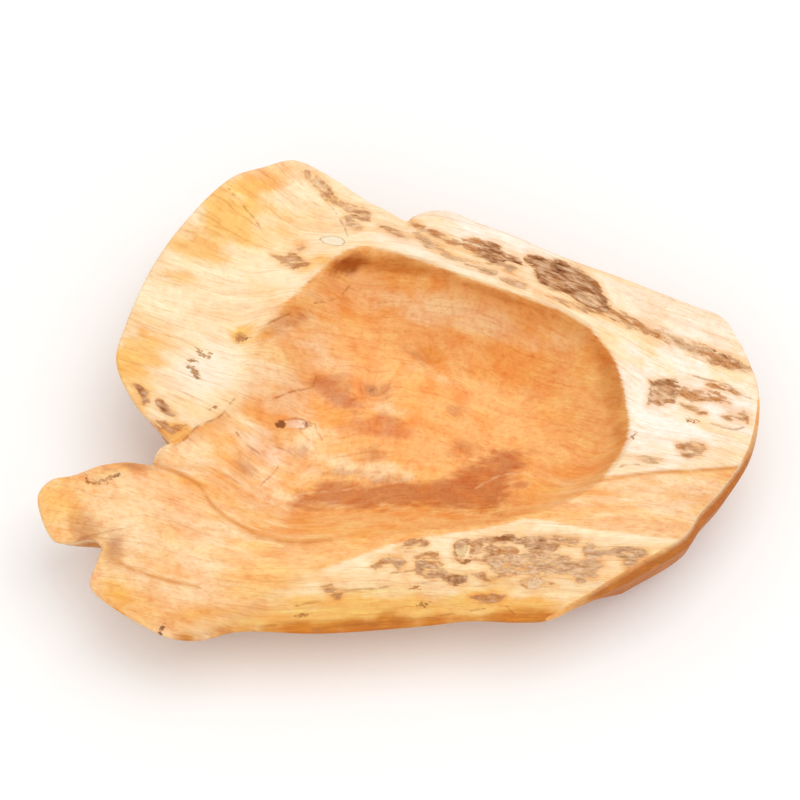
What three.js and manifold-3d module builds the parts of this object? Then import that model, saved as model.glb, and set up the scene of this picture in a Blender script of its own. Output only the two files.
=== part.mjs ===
// A free-form bowl carved from one root, with bark, knots and fillings seated in its surface.
// Units are millimetres and +Z is up. The origin is the centre of the flat foot, X runs along the length.
import * as THREE from "three";
import { mergeVertices } from "three/addons/utils/BufferGeometryUtils.js";
import Module from "manifold-3d";

const wasm = await Module();
wasm.setup();

// Driving dimensions of the body
const bowlLength = 390; // overall, along X
const bowlWidth = 269.5; // overall, along Y
const lipHeight = 86; // highest point of the hollow's lip above the table
const floorThickness = 20; // wood under the middle of the hollow
const footLength = 150; // flat foot, along X
const footWidth = 100; // flat foot, along Y
const edgeRound = 2; // rounding of the upper arris of the outer edge
const underHeight = 36; // mean height of the lower arris of the outer edge
const underRiseBack = 18; // the lower arris climbs this much towards the back
const underRiseRight = 6; // and this much towards the right end
const undercut = 8; // how far the side wall leans in on its way down
const frontUndercut = 16; // the same where the wall faces the front
const fullRim = 45; // where the rim is narrower than this, the wall leans in less
const sawnUndercut = 0; // and on the sawn side at the front right, which is upright
const rimCrown = 2.5; // how far the rim bulges between lip and edge
const frontCrown = 5; // further bulge of the natural root surface along the front
const spoutDrop = 20; // how much lower than its lip the hollow runs out between the two lobes at the left
const lipSoft = 14; // how far from the lip the hollow begins its last rise to it
const grooveDepth = 4; // seam of bark along the far ridge
const grooveWidth = 14;

// Driving dimensions of the bark, knots and fillings seated in the body
const seatGap = 0.3; // clearance all round a piece in its pocket
const barkDepth = 3; // thickness of a patch of bark at its rim
const barkCrown = 0.8; // how far its middle stands above the wood
const knotDepth = 8; // length of a dead knot into the wood
const knotCrown = 0.4;
const fillDepth = 3.5; // thickness of a filling
const fillCrown = 0.2;
const cutterReach = 6; // how far a pocket's cutter stands above the wood

// Slopes, directions and fullness of the carved surfaces
const hollowCentre = [16, -2]; // plan position of the middle of the hollow
const gentleWall = 2.2; // power of the hollow's slope at its gentle front left
const steepWall = 4.8; // and at its steep far right
const steepSide = THREE.MathUtils.degToRad(60); // plan direction of the steepest wall
const spoutSide = THREE.MathUtils.degToRad(192); // plan direction of the spout
const spoutSpread = THREE.MathUtils.degToRad(35);
const evenedSpread = THREE.MathUtils.degToRad(25); // turn over which hollow and belly even out their outlines
const sawnSide = THREE.MathUtils.degToRad(-24); // plan direction of the sawn side
const sawnSpread = THREE.MathUtils.degToRad(22);
const sawnHold = 1.5; // above one, the sawn side stays upright for a while either side of its middle
const turnSpread = 25; // distance over which the wall evens out its turns
const bellyPower = 1.35; // fullness of the underside between foot and edge
const lipHold = 0.5; // how soon the lip loses its pull on the hollow
const wallBelly = { inset: 0.55, drop: 0.6 }; // where the side wall bulges between its two arrises

// Ribs of the bowl in plan and height, anticlockwise from the right end.
// Each row is a point of the outer edge, then the matching point of the hollow's lip.
const ribs = [
  [[195.5, -7, 66], [122, -29, 80]],
  [[192, 15.5, 68], [120, -7, 81]],
  [[184.5, 29.5, 70], [116, 8, 82]],
  [[177.5, 40, 72], [111, 16, 83]],
  [[159.5, 47.5, 74], [103, 27, 84]],
  [[132.5, 58, 77], [90, 36, 85]],
  [[89, 74.5, 80], [60, 48, 86]],
  [[67, 85, 81], [44, 54, 86]],
  [[44.5, 94, 82], [27, 61, 86]],
  [[25.5, 101.5, 83], [14, 67, 86]],
  [[7.5, 99.5, 82], [4, 70, 86]],
  [[4, 98.5, 80], [-1, 72, 86]],
  [[-16, 107, 82], [-14, 75, 86]],
  [[-44, 126, 84], [-28, 74, 85]],
  [[-60, 132.5, 85], [-38, 68, 84]],
  [[-77.5, 128.5, 84], [-47, 61, 83]],
  [[-93, 123.5, 83], [-55, 53, 82]],
  [[-110, 109, 80], [-62, 44, 80]],
  [[-134.5, 75, 76], [-74, 31, 78]],
  [[-149.5, 39.5, 72], [-79, 18, 75]],
  [[-155.5, 17, 66], [-82, 5, 69]],
  [[-143, -8.5, 58], [-91, -9, 61]],
  [[-133, -17.5, 54], [-103, -16, 57]],
  [[-126, -25, 50], [-113, -21, 52]],
  [[-131, -26.5, 46], [-119, -26, 46]],
  [[-134, -31, 45], [-122, -31, 45]],
  [[-135, -37, 47], [-122, -38, 47]],
  [[-137, -42.5, 60], [-120, -46, 60]],
  [[-148, -41.5, 61], [-117, -49, 61]],
  [[-161.5, -43.5, 61], [-114, -52, 61]],
  [[-175.5, -48.5, 60], [-111, -55, 62]],
  [[-188, -51, 59], [-108, -58, 62]],
  [[-194.5, -60, 58], [-105, -62, 62]],
  [[-184.5, -85, 56], [-101, -67, 62]],
  [[-176, -86, 56], [-98, -71, 62]],
  [[-166, -84, 56], [-93, -76, 62]],
  [[-159, -89, 57], [-88, -80, 62]],
  [[-160.5, -96.5, 57], [-81, -84, 62]],
  [[-164, -110, 55], [-71, -87, 63]],
  [[-157, -117.5, 53], [-58, -89, 63]],
  [[-132.5, -132, 49], [-38, -89, 65]],
  [[-121, -136.5, 47], [-27, -88, 65]],
  [[-106, -137, 45], [-17, -87, 66]],
  [[-87, -132, 44], [-7, -86, 66]],
  [[-42, -132, 42], [13, -84, 67]],
  [[11, -128, 42], [37, -82, 69]],
  [[37, -125.5, 43], [51, -80, 70]],
  [[64, -126.5, 44], [64, -77, 71]],
  [[78, -126, 46], [74, -74, 72]],
  [[93, -120, 50], [84, -71, 73]],
  [[127, -103, 57], [101, -62, 75]],
  [[154, -87, 60], [112, -52, 77]],
  [[163, -74, 61], [116, -47, 78]],
  [[175, -61, 62], [119, -42, 79]],
  [[190, -37, 64], [121, -36, 80]],
];
// Plan positions along the seam of bark, from its notch in the far edge to the right end.
const seam = [[3, 94], [12, 86], [58, 73], [106, 49], [155, 30], [190, 14]];

// Bark left on the root, dead knots and one filling: plan place, length, width, and turn of the length in degrees
const seatedPieces = [
  { name: "bark_lobe_tip", kind: "bark", at: [-45, 112], length: 21, width: 7, turn: -55 },
  { name: "bark_lobe_shoulder", kind: "bark", at: [-25, 96], length: 20, width: 8, turn: -31 },
  { name: "bark_lobe_crest", kind: "bark", at: [-60, 71], length: 21, width: 7, turn: -24 },
  { name: "bark_left_edge", kind: "bark", at: [-138, 1], length: 11, width: 5, turn: -54 },
  { name: "bark_left_middle", kind: "bark", at: [-127, -9], length: 12, width: 5, turn: -38 },
  { name: "bark_left_corner", kind: "bark", at: [-119, -19], length: 9, width: 4.5, turn: -30 },
  { name: "bark_seam_notch", kind: "bark", at: [17, 83], length: 22, width: 7, turn: -47 },
  { name: "bark_seam_short", kind: "bark", at: [46, 75], length: 24, width: 10, turn: -31 },
  { name: "bark_seam_large", kind: "bark", at: [92, 56], length: 52, width: 17, turn: -31 },
  { name: "bark_seam_strip", kind: "bark", at: [137, 28], length: 40, width: 7, turn: -18 },
  { name: "bark_seam_end", kind: "bark", at: [172, 18], length: 25, width: 6, turn: -12 },
  { name: "bark_right_inner", kind: "bark", at: [142, -9], length: 18, width: 10, turn: -27 },
  { name: "bark_right_middle", kind: "bark", at: [166, -9], length: 24, width: 6, turn: -10 },
  { name: "bark_right_outer", kind: "bark", at: [174, -22], length: 24, width: 7, turn: -9 },
  { name: "bark_right_low", kind: "bark", at: [156, -40], length: 13, width: 5, turn: -8 },
  { name: "bark_front_left", kind: "bark", at: [-2, -98], length: 15, width: 6, turn: -22 },
  { name: "bark_front_slant", kind: "bark", at: [23, -104], length: 25, width: 6, turn: -20 },
  { name: "bark_front_large", kind: "bark", at: [71, -97], length: 56, width: 10, turn: 2 },
  { name: "bark_front_right", kind: "bark", at: [119, -94], length: 27, width: 6, turn: 3 },
  { name: "bark_front_under", kind: "bark", at: [70, -110], length: 14, width: 4.5, turn: 0 },
  { name: "bark_front_fleck", kind: "bark", at: [47, -115], length: 17, width: 4.5, turn: 0 },
  { name: "knot_lobe", kind: "knot", at: [-87, 25], length: 9, width: 9, turn: 0 },
  { name: "knot_pale", kind: "knot", at: [-110, 11], length: 19, width: 11, turn: -55 },
  { name: "knot_tongue", kind: "knot", at: [-160, -53], length: 17, width: 6, turn: -2 },
  { name: "knot_spout", kind: "knot", at: [-59, -7], length: 18, width: 5, turn: 20 },
  { name: "knot_hollow", kind: "knot", at: [20, 38], length: 10, width: 8, turn: -9 },
  { name: "knot_swirl", kind: "knot", at: [-16, 19], length: 8, width: 7, turn: 5 },
  { name: "knot_eye", kind: "knot", at: [66, -44], length: 13, width: 8, turn: -12 },
  { name: "knot_front", kind: "knot", at: [32, -94], length: 10, width: 8, turn: -90 },
  { name: "fill_lobe", kind: "fill", at: [-37, 80], length: 17, width: 6, turn: -10 },
];
const kinds = {
  bark: { depth: barkDepth, crown: barkCrown, taper: 0.85, wobble: 1, color: "#7c5a35", roughness: 0.95 },
  knot: { depth: knotDepth, crown: knotCrown, taper: 0.6, wobble: 0.4, color: "#8c5a34", roughness: 0.7 },
  fill: { depth: fillDepth, crown: fillCrown, taper: 0.85, wobble: 0.6, color: "#e6d6b8", roughness: 0.6 },
};

// How finely the pieces are faceted
const outlineStep = 4.5; // along a seated piece's outline
const outlineLeast = 9; // sides of the smallest seated piece
const facingReach = 2; // half the span over which the wood's slope is taken

// How finely the body is faceted: ribs for each row above, and steps along each rib
const ribsPerRow = 2;
const hollowSteps = [0.2, 0.38, 0.54, 0.68, 0.8, 0.9, 0.96];
const rimSteps = [0, 0.16, 0.32, 0.48, 0.64, 0.82, 1];
const bellySteps = [0.25, 0.5, 0.75];
const seamSteps = 60;

// The drawing is stretched so that the overall sizes come out as stated above.
const spanOf = (axis) => {
  const values = ribs.map(([edge]) => edge[axis]);
  return Math.max(...values) - Math.min(...values);
};
const drawnHeight = Math.max(...ribs.map(([, lip]) => lip[2]));
const stretch = new THREE.Vector3(bowlLength / spanOf(0), bowlWidth / spanOf(1), lipHeight / drawnHeight);
const placed = ([x, y, z = 0]) => new THREE.Vector3(x, y, z).multiply(stretch);
const smoothLoop = (points) => new THREE.CatmullRomCurve3(points, true, "centripetal");
const edgeCurve = smoothLoop(ribs.map(([edge]) => placed(edge)));
const lipCurve = smoothLoop(ribs.map(([, lip]) => placed(lip)));
const seamPoints = new THREE.CatmullRomCurve3(seam.map(placed)).getPoints(seamSteps);

const centre = placed(hollowCentre);
const lerp = THREE.MathUtils.lerp;

// One where the angle meets the given direction, falling to nothing either side of it.
function nearSide(angle, side, spread) {
  const turn = Math.atan2(Math.sin(angle - side), Math.cos(angle - side));
  return Math.exp(-((turn / spread) ** 2));
}

// Depth of the seam of bark at a plan position.
function seamDepth(point) {
  const distance = Math.min(...seamPoints.map((p) => Math.hypot(p.x - point.x, p.y - point.y)));
  return grooveDepth * Math.exp(-((distance / (grooveWidth / 2)) ** 2));
}

// Where the line from the middle of the hollow towards a plan position leaves the flat foot.
function footEdge(towards) {
  const a = new THREE.Vector2(centre.x / (footLength / 2), centre.y / (footWidth / 2));
  const b = new THREE.Vector2(towards.x / (footLength / 2), towards.y / (footWidth / 2)).sub(a);
  const half = a.dot(b);
  const share = (Math.sqrt(half ** 2 - b.lengthSq() * (a.lengthSq() - 1)) - half) / b.lengthSq();
  return centre.clone().lerp(towards, share).setZ(0);
}

// A loop of the drawing in polar form about a plan position, one entry for each rib.
const ribCount = ribs.length * ribsPerRow;
function polarRing(curve, about) {
  const ring = [];
  for (let i = 0; i < ribCount; i++) {
    const point = curve.getPoint(i / ribCount);
    const angle = Math.atan2(point.y - about.y, point.x - about.x);
    ring.push({ point, angle, radius: Math.hypot(point.x - about.x, point.y - about.y) });
  }
  return ring;
}
const lipRing = polarRing(lipCurve, centre);
const edgeRing = polarRing(edgeCurve, new THREE.Vector3());

// Radius and height of a ring at an angle, evened out over the neighbouring turn.
function evened(ring, angle) {
  let total = 0;
  let radius = 0;
  let height = 0;
  for (const entry of ring) {
    const weight = nearSide(angle, entry.angle, evenedSpread);
    total += weight;
    radius += weight * entry.radius;
    height += weight * entry.point.z;
  }
  return { radius: radius / total, height: height / total };
}

// The direction into the wood from a point of the outer edge, square to the edge and evened along it.
function intoWood(point) {
  const inwards = new THREE.Vector3();
  for (let i = 0; i < ribCount; i++) {
    const from = edgeRing[i].point;
    const to = edgeRing[(i + 1) % ribCount].point;
    const weight = Math.exp(-((from.clone().lerp(to, 0.5).distanceTo(point) / turnSpread) ** 2));
    inwards.x -= weight * (to.y - from.y);
    inwards.y += weight * (to.x - from.x);
  }
  return inwards.normalize();
}

// The carved bowl before its lip: a power curve of the distance from the middle, up to the evened lip.
function carvedHeight(x, y) {
  const angle = Math.atan2(y - centre.y, x - centre.x);
  const lip = evened(lipRing, angle);
  const height = lip.height - spoutDrop * nearSide(angle, spoutSide, spoutSpread);
  const wallPower = lerp(gentleWall, steepWall, 0.5 + 0.5 * Math.cos(angle - steepSide));
  const share = Math.hypot(x - centre.x, y - centre.y) / lip.radius;
  return lerp(floorThickness, height, share ** wallPower);
}
for (const entry of lipRing) entry.rise = entry.point.z - carvedHeight(entry.point.x, entry.point.y);

// The underside: flat on the foot, then a power curve of the distance from it, up to the evened edge.
function bellyHeight(x, y) {
  const angle = Math.atan2(y, x);
  const footRadius = 1 / Math.hypot(Math.cos(angle) / (footLength / 2), Math.sin(angle) / (footWidth / 2));
  const edgeRadius = evened(edgeRing, angle).radius;
  const rise = underHeight + underRiseBack * Math.sin(angle) + underRiseRight * Math.cos(angle);
  const share = Math.max(0, Math.hypot(x, y) - footRadius) / (edgeRadius - footRadius);
  return rise * share ** bellyPower;
}

// The hollow's height: the carved bowl, bent up to the lip within a short distance of it.
function hollowHeight(x, y) {
  let pull = 0;
  let near = lipHold;
  for (const { point, rise } of lipRing) {
    const weight = Math.exp(-(((point.x - x) ** 2 + (point.y - y) ** 2) / lipSoft ** 2));
    pull += weight * rise;
    near += weight;
  }
  return carvedHeight(x, y) + pull / near;
}

// One rib of the body, from the middle of the hollow over the lip and the edge to the flat foot.
function ribPoints(t) {
  const lip = lipCurve.getPoint(t);
  const edge = edgeCurve.getPoint(t);
  const facing = Math.atan2(lip.y - centre.y, lip.x - centre.x);
  const lipRadius = Math.hypot(lip.y - centre.y, lip.x - centre.x);
  const evenRadius = evened(lipRing, facing).radius;
  const crown = rimCrown + frontCrown * Math.max(0, -Math.sin(facing)) ** 2;
  const points = [];

  for (const s of hollowSteps) {
    const radius = s * lerp(evenRadius, lipRadius, s ** 2);
    const point = centre.clone().lerp(lip, radius / lipRadius);
    points.push(point.setZ(hollowHeight(point.x, point.y)));
  }
  const rimWidth = Math.hypot(edge.x - lip.x, edge.y - lip.y);
  const inwards = intoWood(edge);
  const along = (depth, height) => edge.clone().addScaledVector(inwards, depth).setZ(height);
  const round = Math.min(edgeRound, rimWidth / 4);
  const arris = along(round, edge.z);
  for (const q of rimSteps) {
    const point = lip.clone().lerp(arris, q);
    points.push(point.setZ(point.z + crown * 4 * q * (1 - q) - seamDepth(point)));
  }

  const heading = Math.atan2(edge.y, edge.x);
  const sawn = Math.min(1, sawnHold * nearSide(heading, sawnSide, sawnSpread));
  const lean = lerp(lerp(undercut, frontUndercut, Math.max(0, inwards.y)), sawnUndercut, sawn);
  const inset = lean * Math.min(1, rimWidth / fullRim);
  const wallTop = points.at(-1).z - round;
  const under = along(inset, 0);
  under.setZ(bellyHeight(under.x, under.y));
  points.push(along(0, wallTop));
  points.push(along(inset * wallBelly.inset, lerp(wallTop, under.z, wallBelly.drop)));
  points.push(under);

  // The underside runs back below the rim to the lip, then on to the edge of the foot.
  const belowLip = lip.clone().setZ(0);
  const foot = footEdge(lip);
  const belowRim = Math.hypot(under.x - lip.x, under.y - lip.y);
  const whole = belowRim + belowLip.distanceTo(foot);
  for (const w of bellySteps) {
    const travelled = w * whole;
    const point = under.clone();
    if (travelled < belowRim) point.lerp(belowLip, travelled / belowRim);
    else point.copy(belowLip).lerp(foot, (travelled - belowRim) / (whole - belowRim));
    points.push(point.setZ(bellyHeight(point.x, point.y)));
  }
  points.push(foot);
  return points;
}

// A closed surface from ribs that all run from one shared first point to one shared last point.
function closeRibs(first, ribList, last) {
  const rings = ribList[0].length;
  const count = ribList.length;
  const vertices = [first, ...ribList.flat(), last];
  const index = (rib, ring) => 1 + (rib % count) * rings + ring;
  const triangles = [];
  for (let rib = 0; rib < count; rib++) {
    triangles.push(0, index(rib, 0), index(rib + 1, 0));
    for (let ring = 0; ring < rings - 1; ring++) {
      const a = index(rib, ring);
      const b = index(rib, ring + 1);
      const c = index(rib + 1, ring + 1);
      const d = index(rib + 1, ring);
      triangles.push(a, b, c, a, c, d);
    }
    triangles.push(vertices.length - 1, index(rib + 1, rings - 1), index(rib, rings - 1));
  }
  return new THREE.BufferGeometry().setFromPoints(vertices).setIndex(triangles);
}

const bodyRibs = [];
for (let i = 0; i < ribCount; i++) bodyRibs.push(ribPoints(i / ribCount));
const bodyShape = closeRibs(centre.clone().setZ(floorThickness), bodyRibs, centre);

const woodSurface = new THREE.Mesh(bodyShape);
const plumb = new THREE.Raycaster();
const down = new THREE.Vector3(0, 0, -1);

// The point of the uncut wood above a plan position, and the direction the wood faces there.
function onWood({ x, y }) {
  plumb.set(new THREE.Vector3(x, y, 2 * lipHeight), down);
  return plumb.intersectObject(woodSurface)[0].point;
}
function woodFacing({ x, y }) {
  const slope = (dx, dy) => onWood({ x: x + dx, y: y + dy }).sub(onWood({ x: x - dx, y: y - dy }));
  return slope(facingReach, 0).cross(slope(0, facingReach)).normalize();
}

// Outline of a seated piece in plan: an ellipse whose radius wavers, turned and set in its place.
function seatOutline({ at, length, width, turn }, wobble) {
  const around = Math.PI * Math.hypot(length, width) * Math.SQRT1_2;
  const count = Math.max(outlineLeast, Math.round(around / outlineStep));
  const phase = at[0] + at[1];
  const heading = THREE.MathUtils.degToRad(turn);
  const outline = [];
  for (let i = 0; i < count; i++) {
    const a = (2 * Math.PI * i) / count;
    const waver = 0.09 * Math.sin(2 * a + phase) + 0.07 * Math.sin(3 * a + 2 * phase) + 0.05 * Math.sin(5 * a);
    const radius = 0.5 * (1 + wobble * waver);
    const x = radius * length * Math.cos(a);
    const y = radius * width * Math.sin(a);
    const turned = new THREE.Vector2(x, y).rotateAround(new THREE.Vector2(), heading);
    outline.push(placed([at[0] + turned.x, at[1] + turned.y]));
  }
  return outline;
}

// The outline moved outwards by a distance.
function grown(outline, distance) {
  const count = outline.length;
  return outline.map((point, i) => {
    const along = outline[(i + 1) % count].clone().sub(outline[(i + count - 1) % count]).normalize();
    return point.clone().add(new THREE.Vector3(along.y, -along.x, 0).multiplyScalar(distance));
  });
}

// A seated piece and the cutter of its pocket, both square to the wood. The cutter is larger by the gap.
function seatedPiece(piece) {
  const { depth, crown, taper, wobble } = kinds[piece.kind];
  const outline = seatOutline(piece, wobble);
  const place = placed(piece.at);
  const facing = woodFacing(place);
  const middle = onWood(place);
  const raised = (point, height) => onWood(point).addScaledVector(facing, height);
  const atMiddle = (height) => middle.clone().addScaledVector(facing, height);
  const pieceRibs = outline.map((point) => [
    raised(place.clone().lerp(point, 0.5), crown),
    onWood(point),
    raised(place.clone().lerp(point, taper), -depth),
  ]);
  const cutterRibs = grown(outline, seatGap).map((point, i) => {
    const [, rim, foot] = pieceRibs[i];
    const wider = onWood(point).sub(rim);
    return [
      raised(point, cutterReach),
      onWood(point),
      foot.clone().add(wider).addScaledVector(facing, -seatGap),
    ];
  });
  return {
    shape: closeRibs(atMiddle(crown), pieceRibs, atMiddle(-depth)),
    cutter: closeRibs(atMiddle(cutterReach), cutterRibs, atMiddle(-depth - seatGap)),
  };
}

// A solid for cutting from a closed shape, and the shape of a solid.
function solidOf(shape) {
  const merged = mergeVertices(shape);
  const vertProperties = Float32Array.from(merged.attributes.position.array);
  const triVerts = Uint32Array.from(merged.index.array);
  return new wasm.Manifold(new wasm.Mesh({ numProp: 3, vertProperties, triVerts }));
}
function shapeOf(solid) {
  const { vertProperties, triVerts } = solid.getMesh();
  const shape = new THREE.BufferGeometry();
  shape.setAttribute("position", new THREE.BufferAttribute(vertProperties, 3));
  return shape.setIndex(new THREE.BufferAttribute(triVerts, 1));
}

const bowl = new THREE.Group();
function addPiece(name, shape, color, roughness) {
  const mesh = new THREE.Mesh(shape, new THREE.MeshStandardMaterial({ color, roughness, metalness: 0 }));
  mesh.name = name;
  bowl.add(mesh);
}

let body = solidOf(bodyShape);
for (const piece of seatedPieces) {
  const { shape, cutter } = seatedPiece(piece);
  body = body.subtract(solidOf(cutter));
  addPiece(piece.name, shape, kinds[piece.kind].color, kinds[piece.kind].roughness);
}
addPiece("bowl_body", shapeOf(body), "#f0c890", 0.55);

export default bowl;
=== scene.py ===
import math

import bpy
import numpy as np
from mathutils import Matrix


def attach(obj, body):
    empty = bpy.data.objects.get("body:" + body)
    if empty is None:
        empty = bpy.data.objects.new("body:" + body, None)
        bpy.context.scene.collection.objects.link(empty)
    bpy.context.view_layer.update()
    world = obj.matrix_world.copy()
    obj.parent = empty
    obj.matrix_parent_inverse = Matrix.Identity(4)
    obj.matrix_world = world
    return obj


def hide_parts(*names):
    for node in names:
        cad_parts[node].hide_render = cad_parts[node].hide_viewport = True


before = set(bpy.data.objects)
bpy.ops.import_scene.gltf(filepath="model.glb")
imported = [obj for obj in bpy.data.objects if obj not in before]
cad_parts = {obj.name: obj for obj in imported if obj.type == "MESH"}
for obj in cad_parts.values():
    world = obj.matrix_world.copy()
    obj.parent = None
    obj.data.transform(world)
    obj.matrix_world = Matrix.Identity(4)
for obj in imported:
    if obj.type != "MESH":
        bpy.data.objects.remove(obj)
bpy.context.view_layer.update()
toMetres = 0.001
print("frame loaded,", len(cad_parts), "nodes")

# Where the photograph was taken from; a pixel of it is given in its frame of 800 by 800
photoView = {
    "elevation": 65,
    "distance": 1300,
    "target": (0, 0, 50),
    "pitch": 0.55,  # millimetres for each pixel at the target
    "imageSize": 800,
    "sensor": 36,
}
viewTilt = math.radians(photoView["elevation"])
viewBack = np.array([0, -math.cos(viewTilt), math.sin(viewTilt)])
viewUp = np.array([0, math.sin(viewTilt), math.cos(viewTilt)])
viewEye = np.array(photoView["target"]) + photoView["distance"] * viewBack
focalPixels = photoView["distance"] / photoView["pitch"]
imageMiddle = photoView["imageSize"] / 2


# Pixels of points: each point's offset from the eye, over its depth, times the focal length
def photoPixel(points):
    offset = points - viewEye
    depth = -(offset @ viewBack)
    u = imageMiddle + focalPixels * offset[..., 0] / depth
    v = imageMiddle - focalPixels * (offset @ viewUp) / depth
    return u, v


# Plan position of a pixel at a height: the sight line followed down to that height
def planOf(u, v, height):
    sight = np.array([u - imageMiddle, 0, 0]) + (imageMiddle - v) * viewUp - focalPixels * viewBack
    return (viewEye + (height - viewEye[2]) / sight[2] * sight)[:2]


# Zero below low, one above high, an S curve between
def smoothStep(low, high, value):
    share = np.clip((value - low) / (high - low), 0, 1)
    return share * share * (3 - 2 * share)


noiseSize = 256


# Random values on a square lattice, blended by a quintic fade, from -1 to 1
def smoothNoise(x, y, seed):
    table = np.random.default_rng(seed).uniform(-1, 1, (noiseSize, noiseSize))
    i, j = np.floor(x).astype(int) % noiseSize, np.floor(y).astype(int) % noiseSize
    nextI, nextJ = (i + 1) % noiseSize, (j + 1) % noiseSize
    fx, fy = (f**3 * (f * (f * 6 - 15) + 10) for f in (x - np.floor(x), y - np.floor(y)))
    near = table[i, j] * (1 - fx) + table[nextI, j] * fx
    far = table[i, nextJ] * (1 - fx) + table[nextI, nextJ] * fx
    return near * (1 - fy) + far * fy


# Noise in layers, each half as large and twice as fine as the one before
def layeredNoise(x, y, seed, layers=4):
    return sum(smoothNoise(x * 2**k, y * 2**k, seed + k) / 2**k for k in range(layers))


# sRGB hex to linear colour
def linearColour(hexColour):
    srgb = np.array([int(hexColour[i:i + 2], 16) / 255 for i in (1, 3, 5)])
    return np.where(srgb <= 0.04045, srgb / 12.92, ((srgb + 0.055) / 1.055) ** 2.4)


bowlForm = {
    "floorThickness": 20,  # wood under the middle of the hollow
    "hollowCentre": (16, -2),
    "gentleWall": 2.2,  # power of the hollow's slope at its front left
    "steepWall": 4.8,  # and at its far right
    "steepSide": math.radians(60),
    "spoutDrop": 20,  # how much lower the hollow runs out at the left
    "spoutSide": math.radians(192),
    "spoutSpread": math.radians(35),
    "evenedSpread": math.radians(25),
    "lipSoft": 14,
    "lipHold": 0.5,
    "lipPoints": 110,
    "rimCrown": 2.5,
    "frontCrown": 5,
    "edgeRound": 2,
    "chamfer": (4.5, 8),  # width and depth of the arris cut off on the sawn side
    "footSize": (150, 100),
    "underHeight": 36,
    "underRise": (6, 18),  # towards the right, and towards the back
    "bellyPower": 1.35,
    "undercut": 8,  # how far the side wall leans in on its way down
    "frontUndercut": 16,  # the same where the wall faces the front
    "fullRim": 45,  # where the rim is narrower than this, the wall leans in less
    "sawnUndercut": 2,
    "sawnSide": math.radians(-30),
    "sawnSpread": math.radians(18),
    "sawnHold": 1.5,
    "turnSpread": 25,  # distance over which the wall evens out its turns
    "wallBulge": 1.17,  # power of the side wall's lean
    "groove": (4, 14),  # depth and width of the seam of bark
    "seamSteps": 160,  # places at which the distance to its route is taken
    "turnSteps": 721,  # and places round an evened ring
    "ribSteps": 4001,
    "lipMeet": 16,  # power with which the hollow comes up to the lip
}
# Ribs anticlockwise from the right end: a point of the outer edge, then the matching point of the lip
bowlRibs = np.array([
    [[195.5, -7, 66], [122, -29, 80]],
    [[192, 15.5, 68], [120, -7, 81]],
    [[184.5, 29.5, 70], [116, 8, 82]],
    [[177.5, 40, 72], [111, 16, 83]],
    [[159.5, 47.5, 74], [103, 27, 84]],
    [[132.5, 58, 77], [90, 36, 85]],
    [[89, 74.5, 80], [60, 48, 86]],
    [[67, 85, 81], [44, 54, 86]],
    [[44.5, 94, 82], [27, 61, 86]],
    [[25.5, 101.5, 83], [14, 67, 86]],
    [[7.5, 99.5, 82], [4, 70, 86]],
    [[4, 98.5, 80], [-1, 72, 86]],
    [[-16, 107, 82], [-14, 75, 86]],
    [[-44, 126, 84], [-28, 74, 85]],
    [[-60, 132.5, 85], [-38, 68, 84]],
    [[-77.5, 128.5, 84], [-47, 61, 83]],
    [[-93, 123.5, 83], [-55, 53, 82]],
    [[-110, 109, 80], [-62, 44, 80]],
    [[-134.5, 75, 76], [-74, 31, 78]],
    [[-149.5, 39.5, 72], [-79, 18, 75]],
    [[-155.5, 17, 66], [-82, 5, 69]],
    [[-143, -8.5, 58], [-91, -9, 61]],
    [[-133, -17.5, 54], [-103, -16, 57]],
    [[-126, -25, 50], [-113, -21, 52]],
    [[-131, -26.5, 46], [-119, -26, 46]],
    [[-134, -31, 45], [-122, -31, 45]],
    [[-135, -37, 47], [-122, -38, 47]],
    [[-137, -42.5, 60], [-120, -46, 60]],
    [[-148, -41.5, 61], [-117, -49, 61]],
    [[-161.5, -43.5, 61], [-114, -52, 61]],
    [[-175.5, -48.5, 60], [-111, -55, 62]],
    [[-188, -51, 59], [-108, -58, 62]],
    [[-194.5, -60, 58], [-105, -62, 62]],
    [[-184.5, -85, 56], [-101, -67, 62]],
    [[-176, -86, 56], [-98, -71, 62]],
    [[-166, -84, 56], [-93, -76, 62]],
    [[-159, -89, 57], [-88, -80, 62]],
    [[-160.5, -96.5, 57], [-81, -84, 62]],
    [[-164, -110, 55], [-71, -87, 63]],
    [[-157, -117.5, 53], [-58, -89, 63]],
    [[-132.5, -132, 49], [-38, -89, 65]],
    [[-121, -136.5, 47], [-27, -88, 65]],
    [[-106, -137, 45], [-17, -87, 66]],
    [[-87, -132, 44], [-7, -86, 66]],
    [[-42, -132, 42], [13, -84, 67]],
    [[11, -128, 42], [37, -82, 69]],
    [[37, -125.5, 43], [51, -80, 70]],
    [[64, -126.5, 44], [64, -77, 71]],
    [[78, -126, 46], [74, -74, 72]],
    [[93, -120, 50], [84, -71, 73]],
    [[127, -103, 57], [101, -62, 75]],
    [[154, -87, 60], [112, -52, 77]],
    [[163, -74, 61], [116, -47, 78]],
    [[175, -61, 62], [119, -42, 79]],
    [[190, -37, 64], [121, -36, 80]],
], float)
seamRoute = np.array([[3, 94], [12, 86], [58, 73], [106, 49], [155, 30], [190, 14]], float)
hollowCentre = np.array(bowlForm["hollowCentre"], float)


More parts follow.
